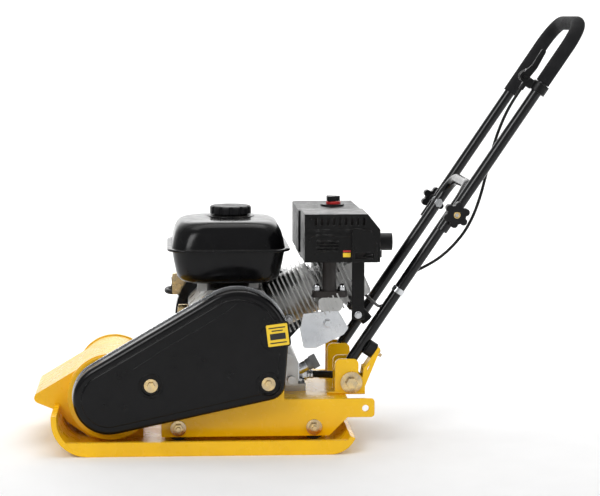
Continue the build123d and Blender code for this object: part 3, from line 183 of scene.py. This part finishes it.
def upward_mask(tree):
    """High on faces that look up, where dust settles."""
    split = tree.nodes.new("ShaderNodeSeparateXYZ")
    tree.links.new(tree.nodes.new("ShaderNodeNewGeometry").outputs["Normal"], split.inputs[0])
    return ramp(tree, split.outputs["Z"], 0.55, 1.0)


def surface(name, colour, roughness, metallic=0.0, coat=0.0, second=None, mottle=0.06,
            mottle_scale=14.0, spread=0.08, grain=0.1, grain_scale=700.0, edge=0.0012,
            wear=0.0, wear_colour=(0.5, 0.5, 0.5), dust=0.0, specular=0.5):
    """A finish with colour variation, uneven gloss, fine relief, soft edges, edge wear and dust."""
    material = bpy.data.materials.new(name)
    material.use_nodes = True
    tree = material.node_tree
    shader = tree.nodes["Principled BSDF"]
    shader.inputs["Metallic"].default_value = metallic
    shader.inputs["Coat Weight"].default_value = coat
    shader.inputs["Coat Roughness"].default_value = 0.08
    shader.inputs["Specular IOR Level"].default_value = specular
    place = tree.nodes.new("ShaderNodeTexCoord").outputs["Object"]
    broad = ramp(tree, noise(tree, place, mottle_scale), 0.3, 0.7)
    dark = tuple(c * (1.0 - mottle) for c in (second or colour))
    light = tuple(min(1.0, c * (1.0 + mottle)) for c in colour)
    tone = mix_colour(tree, broad, dark, light)
    bevel = tree.nodes.new("ShaderNodeBevel")
    bevel.samples = 4
    bevel.inputs["Radius"].default_value = edge
    if wear:
        patches = ramp(tree, noise(tree, place, 160.0, 6.0), 0.62 - 0.3 * wear, 0.7)
        worn = times(tree, edge_mask(tree, bevel.outputs[0], 0.03, 0.2), patches)
        tone = mix_colour(tree, worn, tone, wear_colour)
    if dust:
        film = ramp(tree, noise(tree, place, 35.0, 5.0), 0.35, 0.75, 0.0, dust)
        tone = mix_colour(tree, times(tree, upward_mask(tree), film), tone, (0.42, 0.38, 0.32))
    tree.links.new(tone, shader.inputs["Base Color"])
    smears = noise(tree, place, 55.0, 4.0)
    gloss = ramp(tree, smears, 0.3, 0.7, max(0.02, roughness - spread), roughness + spread)
    tree.links.new(gloss, shader.inputs["Roughness"])
    relief = tree.nodes.new("ShaderNodeBump")
    relief.inputs["Strength"].default_value = grain
    relief.inputs["Distance"].default_value = 0.0006
    tree.links.new(noise(tree, place, grain_scale, 4.0), relief.inputs["Height"])
    tree.links.new(bevel.outputs[0], relief.inputs["Normal"])
    tree.links.new(relief.outputs[0], shader.inputs["Normal"])
    return material


def make_materials():
    steel_grey = (0.45, 0.45, 0.46)
    return {
        "yellow_paint": surface("yellow_gloss", (0.95, 0.56, 0.003), 0.24, coat=0.2, specular=0.35,
                                second=(0.93, 0.53, 0.003), mottle=0.03, grain=0.10,
                                grain_scale=420, wear=0.25, wear_colour=(0.45, 0.27, 0.03), dust=0.04),
        "cast_yellow": surface("yellow_casting", (0.95, 0.55, 0.003), 0.30, coat=0.15, specular=0.35,
                               second=(0.92, 0.51, 0.003), mottle=0.04, grain=0.45, grain_scale=260,
                               edge=0.0022, wear=0.3, wear_colour=(0.42, 0.26, 0.03), dust=0.05),
        "black_gloss": surface("black_gloss", (0.003, 0.003, 0.0035), 0.20, coat=0.05, mottle=0.2,
                               specular=0.2, grain=0.10, grain_scale=380, edge=0.002, wear=0.15,
                               wear_colour=(0.09, 0.09, 0.09), dust=0.05),
        "tube_gloss": surface("black_tube", (0.004, 0.004, 0.0045), 0.16, coat=0.1, mottle=0.2, specular=0.35,
                              grain=0.05, wear=0.2, wear_colour=(0.12, 0.12, 0.12), dust=0.02),
        "black_satin": surface("black_satin", (0.005, 0.005, 0.005), 0.34, mottle=0.2, grain=0.22,
                               specular=0.22, edge=0.003,
                               grain_scale=900, wear=0.35, wear_colour=(0.10, 0.10, 0.10), dust=0.08),
        "black_plastic": surface("black_plastic", (0.005, 0.005, 0.006), 0.42, mottle=0.15, specular=0.25,
                                 grain=0.5, grain_scale=1500, edge=0.0015, dust=0.08),
        "foam": surface("grip_foam", (0.010, 0.010, 0.011), 0.80, mottle=0.3, grain=0.9, specular=0.2,
                        grain_scale=1100, edge=0.002, dust=0.06),
        "rubber": surface("black_rubber", (0.010, 0.010, 0.010), 0.55, mottle=0.25, grain=0.3, specular=0.25,
                          grain_scale=600, dust=0.14),
        "aluminium": surface("cast_aluminium", (0.60, 0.60, 0.59), 0.38, metallic=0.92, mottle=0.10,
                             second=(0.46, 0.46, 0.45), grain=0.55, grain_scale=800, spread=0.14,
                             wear=0.4, wear_colour=(0.78, 0.78, 0.77), dust=0.02),
        "zinc": surface("bright_zinc", (0.70, 0.71, 0.72), 0.22, metallic=1.0, mottle=0.10,
                        second=(0.58, 0.60, 0.63), grain=0.12, grain_scale=300, spread=0.12),
        "gold_zinc": surface("yellow_zinc", (0.78, 0.58, 0.27), 0.24, metallic=1.0, mottle=0.12,
                             mottle_scale=90, second=(0.62, 0.50, 0.34), grain=0.15, spread=0.12,
                             wear=0.3, wear_colour=(0.7, 0.7, 0.68)),
        "steel": surface("turned_steel", steel_grey, 0.28, metallic=1.0, mottle=0.12, grain=0.3,
                         grain_scale=1600, spread=0.12, wear=0.2, wear_colour=(0.7, 0.7, 0.7)),
        "iron": surface("cast_iron", (0.10, 0.10, 0.105), 0.6, metallic=0.7, mottle=0.25, grain=0.8,
                        grain_scale=500),
        # Near-black muffler: partly its own black heat paint, partly painted shade, kept this dark so the
        # muffler guard's slots read as shaded.
        "exhaust": surface("muffler_black_and_slot_shade", (0.014, 0.013, 0.013), 0.5, metallic=0.3, mottle=0.3,
                           second=(0.03, 0.02, 0.015), grain=0.5, grain_scale=500, spread=0.12),
        "filter": surface("filter_foam", (0.30, 0.26, 0.14), 0.9, mottle=0.2, grain=1.0),
        "grey_plastic": surface("grey_plastic", (0.20, 0.21, 0.22), 0.42, grain=0.3,
                                grain_scale=1200, dust=0.1),
        "brass": surface("brass", (0.80, 0.58, 0.24), 0.26, metallic=1.0, mottle=0.1, grain=0.1),
        "label_yellow": surface("label_yellow", (0.92, 0.62, 0.03), 0.32, mottle=0.03, grain=0.05),
        "label_black": surface("label_black", (0.015, 0.015, 0.015), 0.36, mottle=0.1, grain=0.05),
        "label_red": surface("label_red", (0.55, 0.02, 0.015), 0.36, mottle=0.05, grain=0.05),
        "red_plastic": surface("red_plastic", (0.50, 0.012, 0.012), 0.35, mottle=0.05, grain=0.2),
    }


FINISHES = {
    "cast_yellow": "base_plate exciter_housing exciter_covers",
    "yellow_paint": "engine_deck handle_bracket",
    "black_gloss": "belt_guard fuel_tank fan_shroud recoil_cover",
    "tube_gloss": "lower_handle upper_handle",
    "black_satin": "muffler_guard throttle_clamp throttle_lever",
    "black_plastic": "air_cleaner_base air_cleaner_cover fuel_cap starter_grip star_knob_near "
                     "star_knob_far recoil_pulley air_cleaner_knob engine_switch choke_lever "
                     "fuel_tap_lever",
    "foam": "handle_grip",
    "rubber": "rubber_mounts stop_buffer drive_belt drain_hose spark_plug throttle_cable_upper "
              "throttle_cable_lower",
    "aluminium": "crankcase crankcase_cover cylinder cylinder_head valve_cover piston carburettor",
    "zinc": "guard_back_plate lower_shroud engine_fasteners handle_fasteners oil_neck",
    "gold_zinc": "mount_fasteners flange_bolts bracket_fasteners engine_controls",
    "steel": "exciter_shaft exciter_pulley clutch_drum clutch_hub crankshaft exciter_bearings",
    "iron": "eccentric_weight flywheel",
    "exhaust": "muffler",
    "filter": "air_filter",
    "grey_plastic": "oil_cap",
}


def paint_nodes():
    for finish, names in FINISHES.items():
        for name in names.split():
            slots = NODES[name].material_slots
            for slot in slots:
                slot.material = MATERIALS[finish]


# ---- mesh helpers --------------------------------------------------------------------------
def add_piece(name, shape, material, body, smooth=False):
    """Turns a bmesh into a named piece that rides on a body."""
    mesh = bpy.data.meshes.new(name)
    bmesh.ops.recalc_face_normals(shape, faces=shape.faces)
    shape.to_mesh(mesh)
    shape.free()
    for face in mesh.polygons:
        face.use_smooth = smooth
    mesh.materials.append(MATERIALS[material])
    piece = bpy.data.objects.new(name, mesh)
    bpy.context.scene.collection.objects.link(piece)
    if body:
        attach(piece, body)
    return piece


def lathe(profile, place, axis, sides=40):
    """Turns a profile of (radius, height) pairs about an axis through place, closed at both ends."""
    shape = bmesh.new()
    turn = Vector((0, 0, 1)).rotation_difference(Vector(axis)).to_matrix().to_4x4()
    move = Matrix.Translation(place) @ turn
    rings = []
    for radius, height in profile:
        ring = []
        for i in range(sides):
            angle = 2 * math.pi * i / sides
            point = Vector((radius * math.cos(angle), radius * math.sin(angle), height))
            ring.append(shape.verts.new(move @ point))
        rings.append(ring)
    bridge(shape, rings)
    shape.faces.new(reversed(rings[0]))
    shape.faces.new(rings[-1])
    return shape


def bridge(shape, rings):
    for low, high in zip(rings, rings[1:]):
        for i in range(len(low)):
            j = (i + 1) % len(low)
            shape.faces.new((low[i], low[j], high[j], high[i]))


def rounded_outline(width, height, corner, steps=6):
    points = []
    for quarter in range(4):
        x = (width / 2 - corner) * (1 if quarter in (0, 3) else -1)
        z = (height / 2 - corner) * (1 if quarter in (0, 1) else -1)
        for i in range(steps + 1):
            angle = math.radians(90 * quarter + 90 * i / steps)
            points.append((x + corner * math.cos(angle), z + corner * math.sin(angle)))
    return points


def add_plate(shape, outline, place, tilt, thickness, inset=0.0003):
    """A plate that stands out towards -Y from place, with its front edge chamfered by inset."""
    cos, sin = math.cos(tilt), math.sin(tilt)
    rings = []
    for depth, shrink in ((0.0, 0.0), (-thickness + inset, 0.0), (-thickness, inset)):
        ring = []
        for x, z in outline:
            keep = 1.0 - shrink / max(math.hypot(x, z), 1e-6)
            u, w = x * keep, z * keep
            corner = (place[0] + u * cos - w * sin, place[1] + depth, place[2] + u * sin + w * cos)
            ring.append(shape.verts.new(corner))
        rings.append(ring)
    bridge(shape, rings)
    shape.faces.new(reversed(rings[0]))
    shape.faces.new(rings[-1])


def tube_mesh(line, radius, sides=16):
    """A closed tube whose rings are centred on every point of the line."""
    shape = bmesh.new()
    rings = []
    side = None
    for i, point in enumerate(line):
        ahead = line[min(i + 1, len(line) - 1)] - line[max(i - 1, 0)]
        along = ahead.normalized()
        if side is None:
            side = along.orthogonal().normalized()
        side = (side - along * side.dot(along)).normalized()
        other = along.cross(side)
        ring = []
        for k in range(sides):
            angle = 2 * math.pi * k / sides
            offset = side * (radius * math.cos(angle)) + other * (radius * math.sin(angle))
            ring.append(shape.verts.new(point + offset))
        rings.append(ring)
    bridge(shape, rings)
    shape.faces.new(reversed(rings[0]))
    shape.faces.new(rings[-1])
    return shape


# ---- cables and hose -----------------------------------------------------------------------
LEAN = math.radians(56.1)
BEND_X = 0.2452
BEND_Z = 0.1356


def handle_point(along, y, rise=0.0):
    """A point given by its distance up the handle, and its rise off the tubes' front side."""
    x = BEND_X + along * math.cos(LEAN) - rise * math.sin(LEAN)
    z = BEND_Z + along * math.sin(LEAN) + rise * math.cos(LEAN)
    return (x, y, z)


UPPER_CABLE = (
    handle_point(0.525, -0.099, 0.024), handle_point(0.500, -0.099, 0.024),
    handle_point(0.474, -0.094, 0.020), handle_point(0.445, -0.085, 0.012),
    handle_point(0.413, -0.0815, 0.001), handle_point(0.380, -0.083, -0.011),
    handle_point(0.347, -0.089, -0.022), handle_point(0.314, -0.094, -0.030),
    handle_point(0.282, -0.093, -0.034), handle_point(0.250, -0.087, -0.032),
    handle_point(0.220, -0.078, -0.026), handle_point(0.192, -0.068, -0.014),
    handle_point(0.168, -0.0635, 0.0), handle_point(0.1445, -0.0635, 0.0),
)
LOWER_CABLE = (
    handle_point(0.1355, -0.0635, 0.0), handle_point(0.119, -0.0635, 0.0),
    (0.303, -0.053, 0.223), (0.297, -0.032, 0.2175), (0.295, -0.006, 0.217),
    (0.291, 0.020, 0.220), (0.281, 0.044, 0.227), (0.265, 0.065, 0.238),
    (0.249, 0.082, 0.251), (0.241, 0.090, 0.266), (0.241, 0.090, 0.283),
)
DRAIN_HOSE = (
    (0.176, -0.030, 0.103), (0.195, -0.030, 0.103), (0.2137, -0.0267, 0.1015),
    (0.2311, -0.019, 0.099), (0.2461, -0.0073, 0.096), (0.2578, 0.0077, 0.0925),
    (0.2661, 0.0248, 0.0885),
)
CABLE_RADIUS = 0.0025
HOSE_RADIUS = 0.006
ROPE_RADIUS = 0.0021
ROPE_Y = 0.1425
ROPE_Z = 0.221
ROPE_START_X = 0.020
ROPE_STEP = 0.001
ROPE_POINTS = 62


def spline_line(route):
    """Points along the smooth spline that the route's points control."""
    curve = bpy.data.curves.new("route", "CURVE")
    curve.dimensions = "3D"
    curve.resolution_u = 10
    spline = curve.splines.new("NURBS")
    spline.points.add(len(route) - 1)
    for point, place in zip(spline.points, route):
        point.co = (*place, 1.0)
    spline.order_u = 3
    spline.use_endpoint_u = True
    holder = bpy.data.objects.new("route", curve)
    bpy.context.scene.collection.objects.link(holder)
    bpy.context.view_layer.update()
    mesh = bpy.data.meshes.new_from_object(holder)
    line = [vertex.co.copy() for vertex in mesh.vertices]
    bpy.data.objects.remove(holder)
    bpy.data.meshes.remove(mesh)
    return line


def make_cable(name, node, route):
    """A sheathed cable along the smooth spline of its route, fixed in place."""
    line = spline_line(route)
    cable = add_piece(name, tube_mesh(line, CABLE_RADIUS), "rubber", None, smooth=True)
    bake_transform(cable)
    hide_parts(node)


def make_cables():
    make_cable("throttle_cable_top", "throttle_cable_upper", UPPER_CABLE)
    make_cable("throttle_cable_foot", "throttle_cable_lower", LOWER_CABLE)


def make_hose():
    """The oil drain hose and the hexagon plug that closes it."""
    line = spline_line(DRAIN_HOSE)
    tube = tube_mesh(line, HOSE_RADIUS, 24)
    hose = add_piece("oil_hose", tube, "rubber", "chassis", smooth=True)
    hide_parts("drain_hose")
    along = (line[-1] - line[-2]).normalized()
    profile = [(0.0045, -0.006), (0.0045, 0.0), (0.0072, 0.0005), (0.0076, 0.002), (0.0076, 0.0068),
               (0.007, 0.0078)]
    plug = add_piece("oil_hose_plug", lathe(profile, line[-1], along, 6), "zinc", "chassis")


def make_starter_rope():
    """The rope between its outlet and its grip, a straight tube fixed in place."""
    line = [Vector((ROPE_START_X - ROPE_STEP * i, ROPE_Y, ROPE_Z)) for i in range(ROPE_POINTS)]
    rope = add_piece("starter_rope", tube_mesh(line, ROPE_RADIUS, 12), "rubber", None, smooth=True)
    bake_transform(rope)


# ---- labels, ridges, inserts, tank, fins and welds -----------------------------------------
GUARD_LABEL_X = 0.1185
GUARD_LABEL_Z = 0.1945
GUARD_LABEL_TILT = math.radians(7.0)
# Each bar of the guard's label is (rise over its middle, width, height).
GUARD_LABEL_BARS = ((0.0120, 0.027, 0.0018), (0.0072, 0.018, 0.0018),
                    (-0.0022, 0.025, 0.010), (-0.0124, 0.027, 0.0018))
RIDGE_RADIUS = 0.0009
RIDGE_SIDES = 10
BOLT_RING_RADIUS = 0.0195
BOLT_RING_STEPS = 48
MUFFLER_LABEL_X = 0.2290


def make_guard_label():
    """A raised pad pressed in the belt guard, and a plain yellow plate with black bars on it."""
    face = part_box("belt_guard")[0].y
    x = GUARD_LABEL_X
    z = GUARD_LABEL_Z
    tilt = GUARD_LABEL_TILT
    pad = bmesh.new()
    add_plate(pad, rounded_outline(0.040, 0.041, 0.006), (x, face + 0.0032, z), tilt, 0.0034, 0.001)
    add_piece("guard_label_pad", pad, "black_gloss", "chassis")
    plate = bmesh.new()
    add_plate(plate, rounded_outline(0.0345, 0.0355, 0.002), (x, face - 0.0001, z), tilt, 0.0006)
    add_piece("guard_label", plate, "label_yellow", "chassis")
    bars = bmesh.new()
    for rise, width, height in GUARD_LABEL_BARS:
        place = (x - rise * math.sin(tilt), face - 0.0006, z + rise * math.cos(tilt))
        add_plate(bars, rounded_outline(width, height, 0.0008), place, tilt, 0.0004, 0.0001)
    add_piece("guard_label_bars", bars, "label_black", "chassis")


def smooth_line(points, steps=8):
    """A Catmull-Rom line through the points."""
    places = [Vector(p) for p in points]
    places = [places[0]] + places + [places[-1]]
    line = []
    for a, b, c, d in zip(places, places[1:], places[2:], places[3:]):
        for i in range(steps):
            t = i / steps
            line.append(0.5 * (2 * b + (c - a) * t + (2 * a - 5 * b + 4 * c - d) * t**2
                               + (3 * b - a - 3 * c + d) * t**3))
    line.append(places[-1])
    return line


def add_ridge(name, line):
    """A thin raised bead along the line, on the belt guard's face."""
    bead = tube_mesh(line, RIDGE_RADIUS, RIDGE_SIDES)
    add_piece(name, bead, "black_gloss", "chassis", smooth=True)


def make_guard_ridges():
    """The ridges pressed in the guard's face: a long sweep, a ring round each bolt, and a pocket."""
    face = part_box("belt_guard")[0].y + 0.0002
    sweep = ((0.054, 0.246), (0.044, 0.238), (0.016, 0.219), (-0.022, 0.1965), (-0.060, 0.175),
             (-0.088, 0.156), (-0.116, 0.138))
    pocket = ((0.117, 0.219), (0.106, 0.215), (0.0935, 0.203), (0.0905, 0.190), (0.0945, 0.177),
              (0.106, 0.169))
    for name, points in (("guard_ridge_sweep", sweep), ("guard_ridge_pocket", pocket)):
        add_ridge(name, smooth_line([(x, face, z) for x, z in points]))
    for name, x, z in (("guard_ridge_front", -0.0843, 0.1131), ("guard_ridge_rear", 0.1042, 0.1143)):
        line = []
        for i in range(BOLT_RING_STEPS + 1):
            angle = 2 * math.pi * i / BOLT_RING_STEPS
            across = BOLT_RING_RADIUS * math.cos(angle)
            rise = BOLT_RING_RADIUS * math.sin(angle)
            line.append(Vector((x + across, face, z + rise)))
        add_ridge(name, line)


def make_muffler_label():
    """Two plain coloured plates on the muffler guard."""
    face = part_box("muffler_guard")[0].y
    for name, z, height, material in (("muffler_label_red", 0.3285, 0.0030, "label_red"),
                                      ("muffler_label_yellow", 0.3225, 0.0070, "label_yellow")):
        shape = bmesh.new()
        place = (MUFFLER_LABEL_X, face + 0.0062, z)
        add_plate(shape, rounded_outline(0.0125, height, 0.0006), place, 0.0, 0.0006, 0.0001)
        add_piece(name, shape, material, "chassis")


def make_knob_inserts():
    """Brass inserts in the two star knobs, each with a dimple."""
    for name, node, body, side in (("knob_insert_near", "star_knob_near", "near_knob", -1),
                                   ("knob_insert_far", "star_knob_far", "far_knob", 1)):
        low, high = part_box(node)
        face = low.y if side < 0 else high.y
        place = ((low.x + high.x) / 2, face - side * 0.006, (low.z + high.z) / 2)
        profile = [(0.0040, 0.0), (0.0058, 0.0), (0.0058, 0.0055), (0.0052, 0.0062), (0.0032, 0.0062),
                   (0.0026, 0.0045), (0.0006, 0.0042)]
        add_piece(name, lathe(profile, place, (0, side, 0)), "brass", body, smooth=False)


def make_air_cleaner_collar():
    """The red ring under the air cleaner's knob."""
    low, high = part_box("air_cleaner_knob")
    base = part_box("air_cleaner_cover")[1].z - 0.0052
    place = ((low.x + high.x) / 2, (low.y + high.y) / 2, base)
    profile = [(0.0062, 0.0), (0.0118, 0.0), (0.0124, 0.0008), (0.0124, 0.0038), (0.0116, 0.0048),
               (0.0062, 0.0048)]
    ring = lathe(profile, place, (0, 0, 1))
    add_piece("air_cleaner_collar", ring, "red_plastic", "chassis")


def rounded_ring(shape, width, depth, corner, place, steps=8):
    """A level ring of vertices round a rectangle with rounded corners."""
    ring = []
    for x, y in rounded_outline(width, depth, corner, steps):
        ring.append(shape.verts.new((place[0] + x, place[1] + y, place[2])))
    return ring


def make_tank():
    """The fuel tank's two pressed halves: a crowned top, a rolled seam and a deep rounded belly."""
    low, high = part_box("fuel_tank")
    x = (low.x + high.x) / 2
    y = (low.y + high.y) / 2
    full = high.x - low.x
    # Each level is (height over the tank's bottom, inset from the flange, corner radius).
    levels = (
        (0.0000, 0.0340, 0.030), (0.0012, 0.0280, 0.034), (0.0045, 0.0215, 0.038),
        (0.0100, 0.0170, 0.041), (0.0180, 0.0143, 0.042), (0.0360, 0.0108, 0.040),
        (0.0535, 0.0080, 0.038), (0.0550, 0.0075, 0.038), (0.0550, 0.0004, 0.034),
        (0.0556, 0.0000, 0.034), (0.0579, 0.0000, 0.034), (0.0585, 0.0004, 0.034),
        (0.0585, 0.0075, 0.038), (0.0610, 0.0080, 0.038), (0.0740, 0.0103, 0.040),
        (0.0850, 0.0134, 0.042), (0.0925, 0.0172, 0.043), (0.0977, 0.0220, 0.044),
        (0.1008, 0.0282, 0.044), (0.1022, 0.0350, 0.044), (0.1030, 0.0520, 0.040),
    )
    shape = bmesh.new()
    rings = []
    for height, inset, corner in levels:
        side = full - 2 * inset
        rings.append(rounded_ring(shape, side, side, min(corner, side / 2.2), (x, y, low.z + height)))
    bridge(shape, rings)
    shape.faces.new(reversed(rings[0]))
    shape.faces.new(rings[-1])
    tank = add_piece("tank_halves", shape, "black_gloss", "chassis", smooth=True)
    tank.data.set_sharp_from_angle(angle=math.radians(50))
    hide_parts("fuel_tank")
    cap_low, cap_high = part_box("fuel_cap")
    centre = ((cap_low.x + cap_high.x) / 2, (cap_low.y + cap_high.y) / 2, low.z + 0.1015)
    neck = [(0.0400, 0.0), (0.0400, 0.0022), (0.0370, 0.0034), (0.0272, 0.0040), (0.0272, 0.0088)]
    add_piece("tank_neck", lathe(neck, centre, (0, 0, 1)), "black_gloss", "chassis")


def add_block(shape, axes, low, high):
    """A box from low to high along the axes that the matrix gives."""
    size = [b - a for a, b in zip(low, high)]
    middle = [(a + b) / 2 for a, b in zip(low, high)]
    place = axes @ Matrix.Translation(middle) @ Matrix.Diagonal((*size, 1.0))
    bmesh.ops.create_cube(shape, size=1.0, matrix=place)


CRANK_PLACE = (0.056, 0.0, 0.187)
CYLINDER_TILT = math.radians(25)
FIN_PITCH = 0.0077
SIDE_FIN_COUNT = 8
SIDE_FIN_START = 0.1495
SIDE_FIN_LOW = -0.046
SIDE_FIN_LOW_RISE = 0.0012
SIDE_FIN_HIGH = 0.034
SIDE_FIN_THICKNESS = 0.0019
SIDE_FIN_OUTER_Y = -0.067
SIDE_FIN_INNER_Y = -0.0535
PORT_FIN_COUNT = 5
PORT_FIN_START = 0.1425
PORT_FIN_LOW = -0.030
PORT_FIN_HIGH = -0.006
PORT_FIN_THICKNESS = 0.0024
PORT_FIN_OUTER_Y = -0.1296
PORT_FIN_INNER_Y = -0.1275
CYLINDER_BOLT_X = 0.1440
CYLINDER_BOLT_Z = 0.2020
CYLINDER_BOSS_Y = -0.053
CYLINDER_BOLT_Y = -0.0628


def make_side_fins():
    """The near ends of the cylinder head's fins, the fins on its exhaust port, and a bolt on a boss."""
    along = Matrix.Translation(CRANK_PLACE) @ Matrix.Rotation(-CYLINDER_TILT, 4, "Y")
    shape = bmesh.new()
    for i in range(SIDE_FIN_COUNT):
        start = SIDE_FIN_START + FIN_PITCH * i
        low = (start, SIDE_FIN_OUTER_Y, SIDE_FIN_LOW + SIDE_FIN_LOW_RISE * i)
        add_block(shape, along, low, (start + SIDE_FIN_THICKNESS, SIDE_FIN_INNER_Y, SIDE_FIN_HIGH))
    add_piece("head_side_fins", shape, "aluminium", "chassis")
    port = bmesh.new()
    for i in range(PORT_FIN_COUNT):
        start = PORT_FIN_START + FIN_PITCH * i
        low = (start, PORT_FIN_OUTER_Y, PORT_FIN_LOW)
        add_block(port, along, low, (start + PORT_FIN_THICKNESS, PORT_FIN_INNER_Y, PORT_FIN_HIGH))
    add_piece("exhaust_port_fins", port, "aluminium", "chassis")
    towards_near = (0, -1, 0)
    boss_profile = [(0.0078, 0.0), (0.0072, 0.0090), (0.0066, 0.0098)]
    boss_place = (CYLINDER_BOLT_X, CYLINDER_BOSS_Y, CYLINDER_BOLT_Z)
    boss = lathe(boss_profile, boss_place, towards_near, 32)
    add_piece("cylinder_boss", boss, "aluminium", "chassis")
    bolt_profile = [(0.0048, 0.0), (0.0048, 0.0034), (0.0042, 0.0040)]
    bolt_place = (CYLINDER_BOLT_X, CYLINDER_BOLT_Y, CYLINDER_BOLT_Z)
    bolt = lathe(bolt_profile, bolt_place, towards_near, 6)
    add_piece("cylinder_bolt", bolt, "steel", "chassis")


LOOP_HALF_LENGTH = 0.0150
LOOP_HALF_WIDTH = 0.0245
LOOP_SQUARENESS = 0.8
LOOP_TUBE_RADIUS = 0.0042
LOOP_STEPS = 56


def make_starter_handle():
    """The recoil starter's pull handle: a rounded loop on a neck, round the rope's knot."""
    low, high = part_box("starter_grip")
    y = (low.y + high.y) / 2
    z = (low.z + high.z) / 2
    centre = Vector((low.x + 0.0195, y, z))
    line = []
    for i in range(LOOP_STEPS + 1):
        angle = 2 * math.pi * i / LOOP_STEPS
        reach = abs(math.cos(angle)) ** LOOP_SQUARENESS * math.copysign(1, math.cos(angle))
        width = abs(math.sin(angle)) ** LOOP_SQUARENESS * math.copysign(1, math.sin(angle))
        line.append(centre + Vector((LOOP_HALF_LENGTH * reach, LOOP_HALF_WIDTH * width, 0.0)))
    loop = tube_mesh(line, LOOP_TUBE_RADIUS, 14)
    handle = add_piece("starter_handle", loop, "black_plastic", "starter_pull", smooth=True)
    neck_profile = [(0.0044, 0.0), (0.0048, 0.003), (0.0042, 0.009), (0.0028, 0.011)]
    neck_place = (centre.x + 0.0135, y, z)
    add_piece("starter_neck", lathe(neck_profile, neck_place, (1, 0, 0), 24), "black_plastic",
              "starter_pull", smooth=True)
    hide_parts("starter_grip")


def weld_bead(shape, start, end, radius):
    """A row of overlapping flattened beads."""
    start = Vector(start)
    end = Vector(end)
    count = max(3, int((end - start).length / (radius * 0.9)))
    for i in range(count + 1):
        place = start.lerp(end, i / count)
        move = Matrix.Translation(place) @ Matrix.Diagonal((1.0, 1.0, 0.8, 1.0))
        bmesh.ops.create_uvsphere(shape, u_segments=10, v_segments=6, radius=radius, matrix=move)


DECK_TOP_Z = 0.081
WELD_RISE = 0.003
WELD_INSET = 0.004
WELD_END_X = 0.266
WELD_RADIUS = 0.0022


def make_welds():
    """The beads along the outer feet of the handle bracket, on the deck."""
    shape = bmesh.new()
    low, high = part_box("handle_bracket")
    z = DECK_TOP_Z + WELD_RISE
    for side in (-1, 1):
        y = side * high.y
        weld_bead(shape, (low.x + WELD_INSET, y, z), (WELD_END_X, y, z), WELD_RADIUS)
    add_piece("bracket_welds", shape, "yellow_paint", "chassis", smooth=True)


# ---- the scene -----------------------------------------------------------------------------
MATERIALS = make_materials()
make_camera()
make_cables()
make_hose()
paint_nodes()
make_starter_rope()
make_guard_label()
make_guard_ridges()
make_tank()
make_side_fins()
make_starter_handle()
make_muffler_label()
make_knob_inserts()
make_air_cleaner_collar()
make_welds()
make_studio()
make_floor()
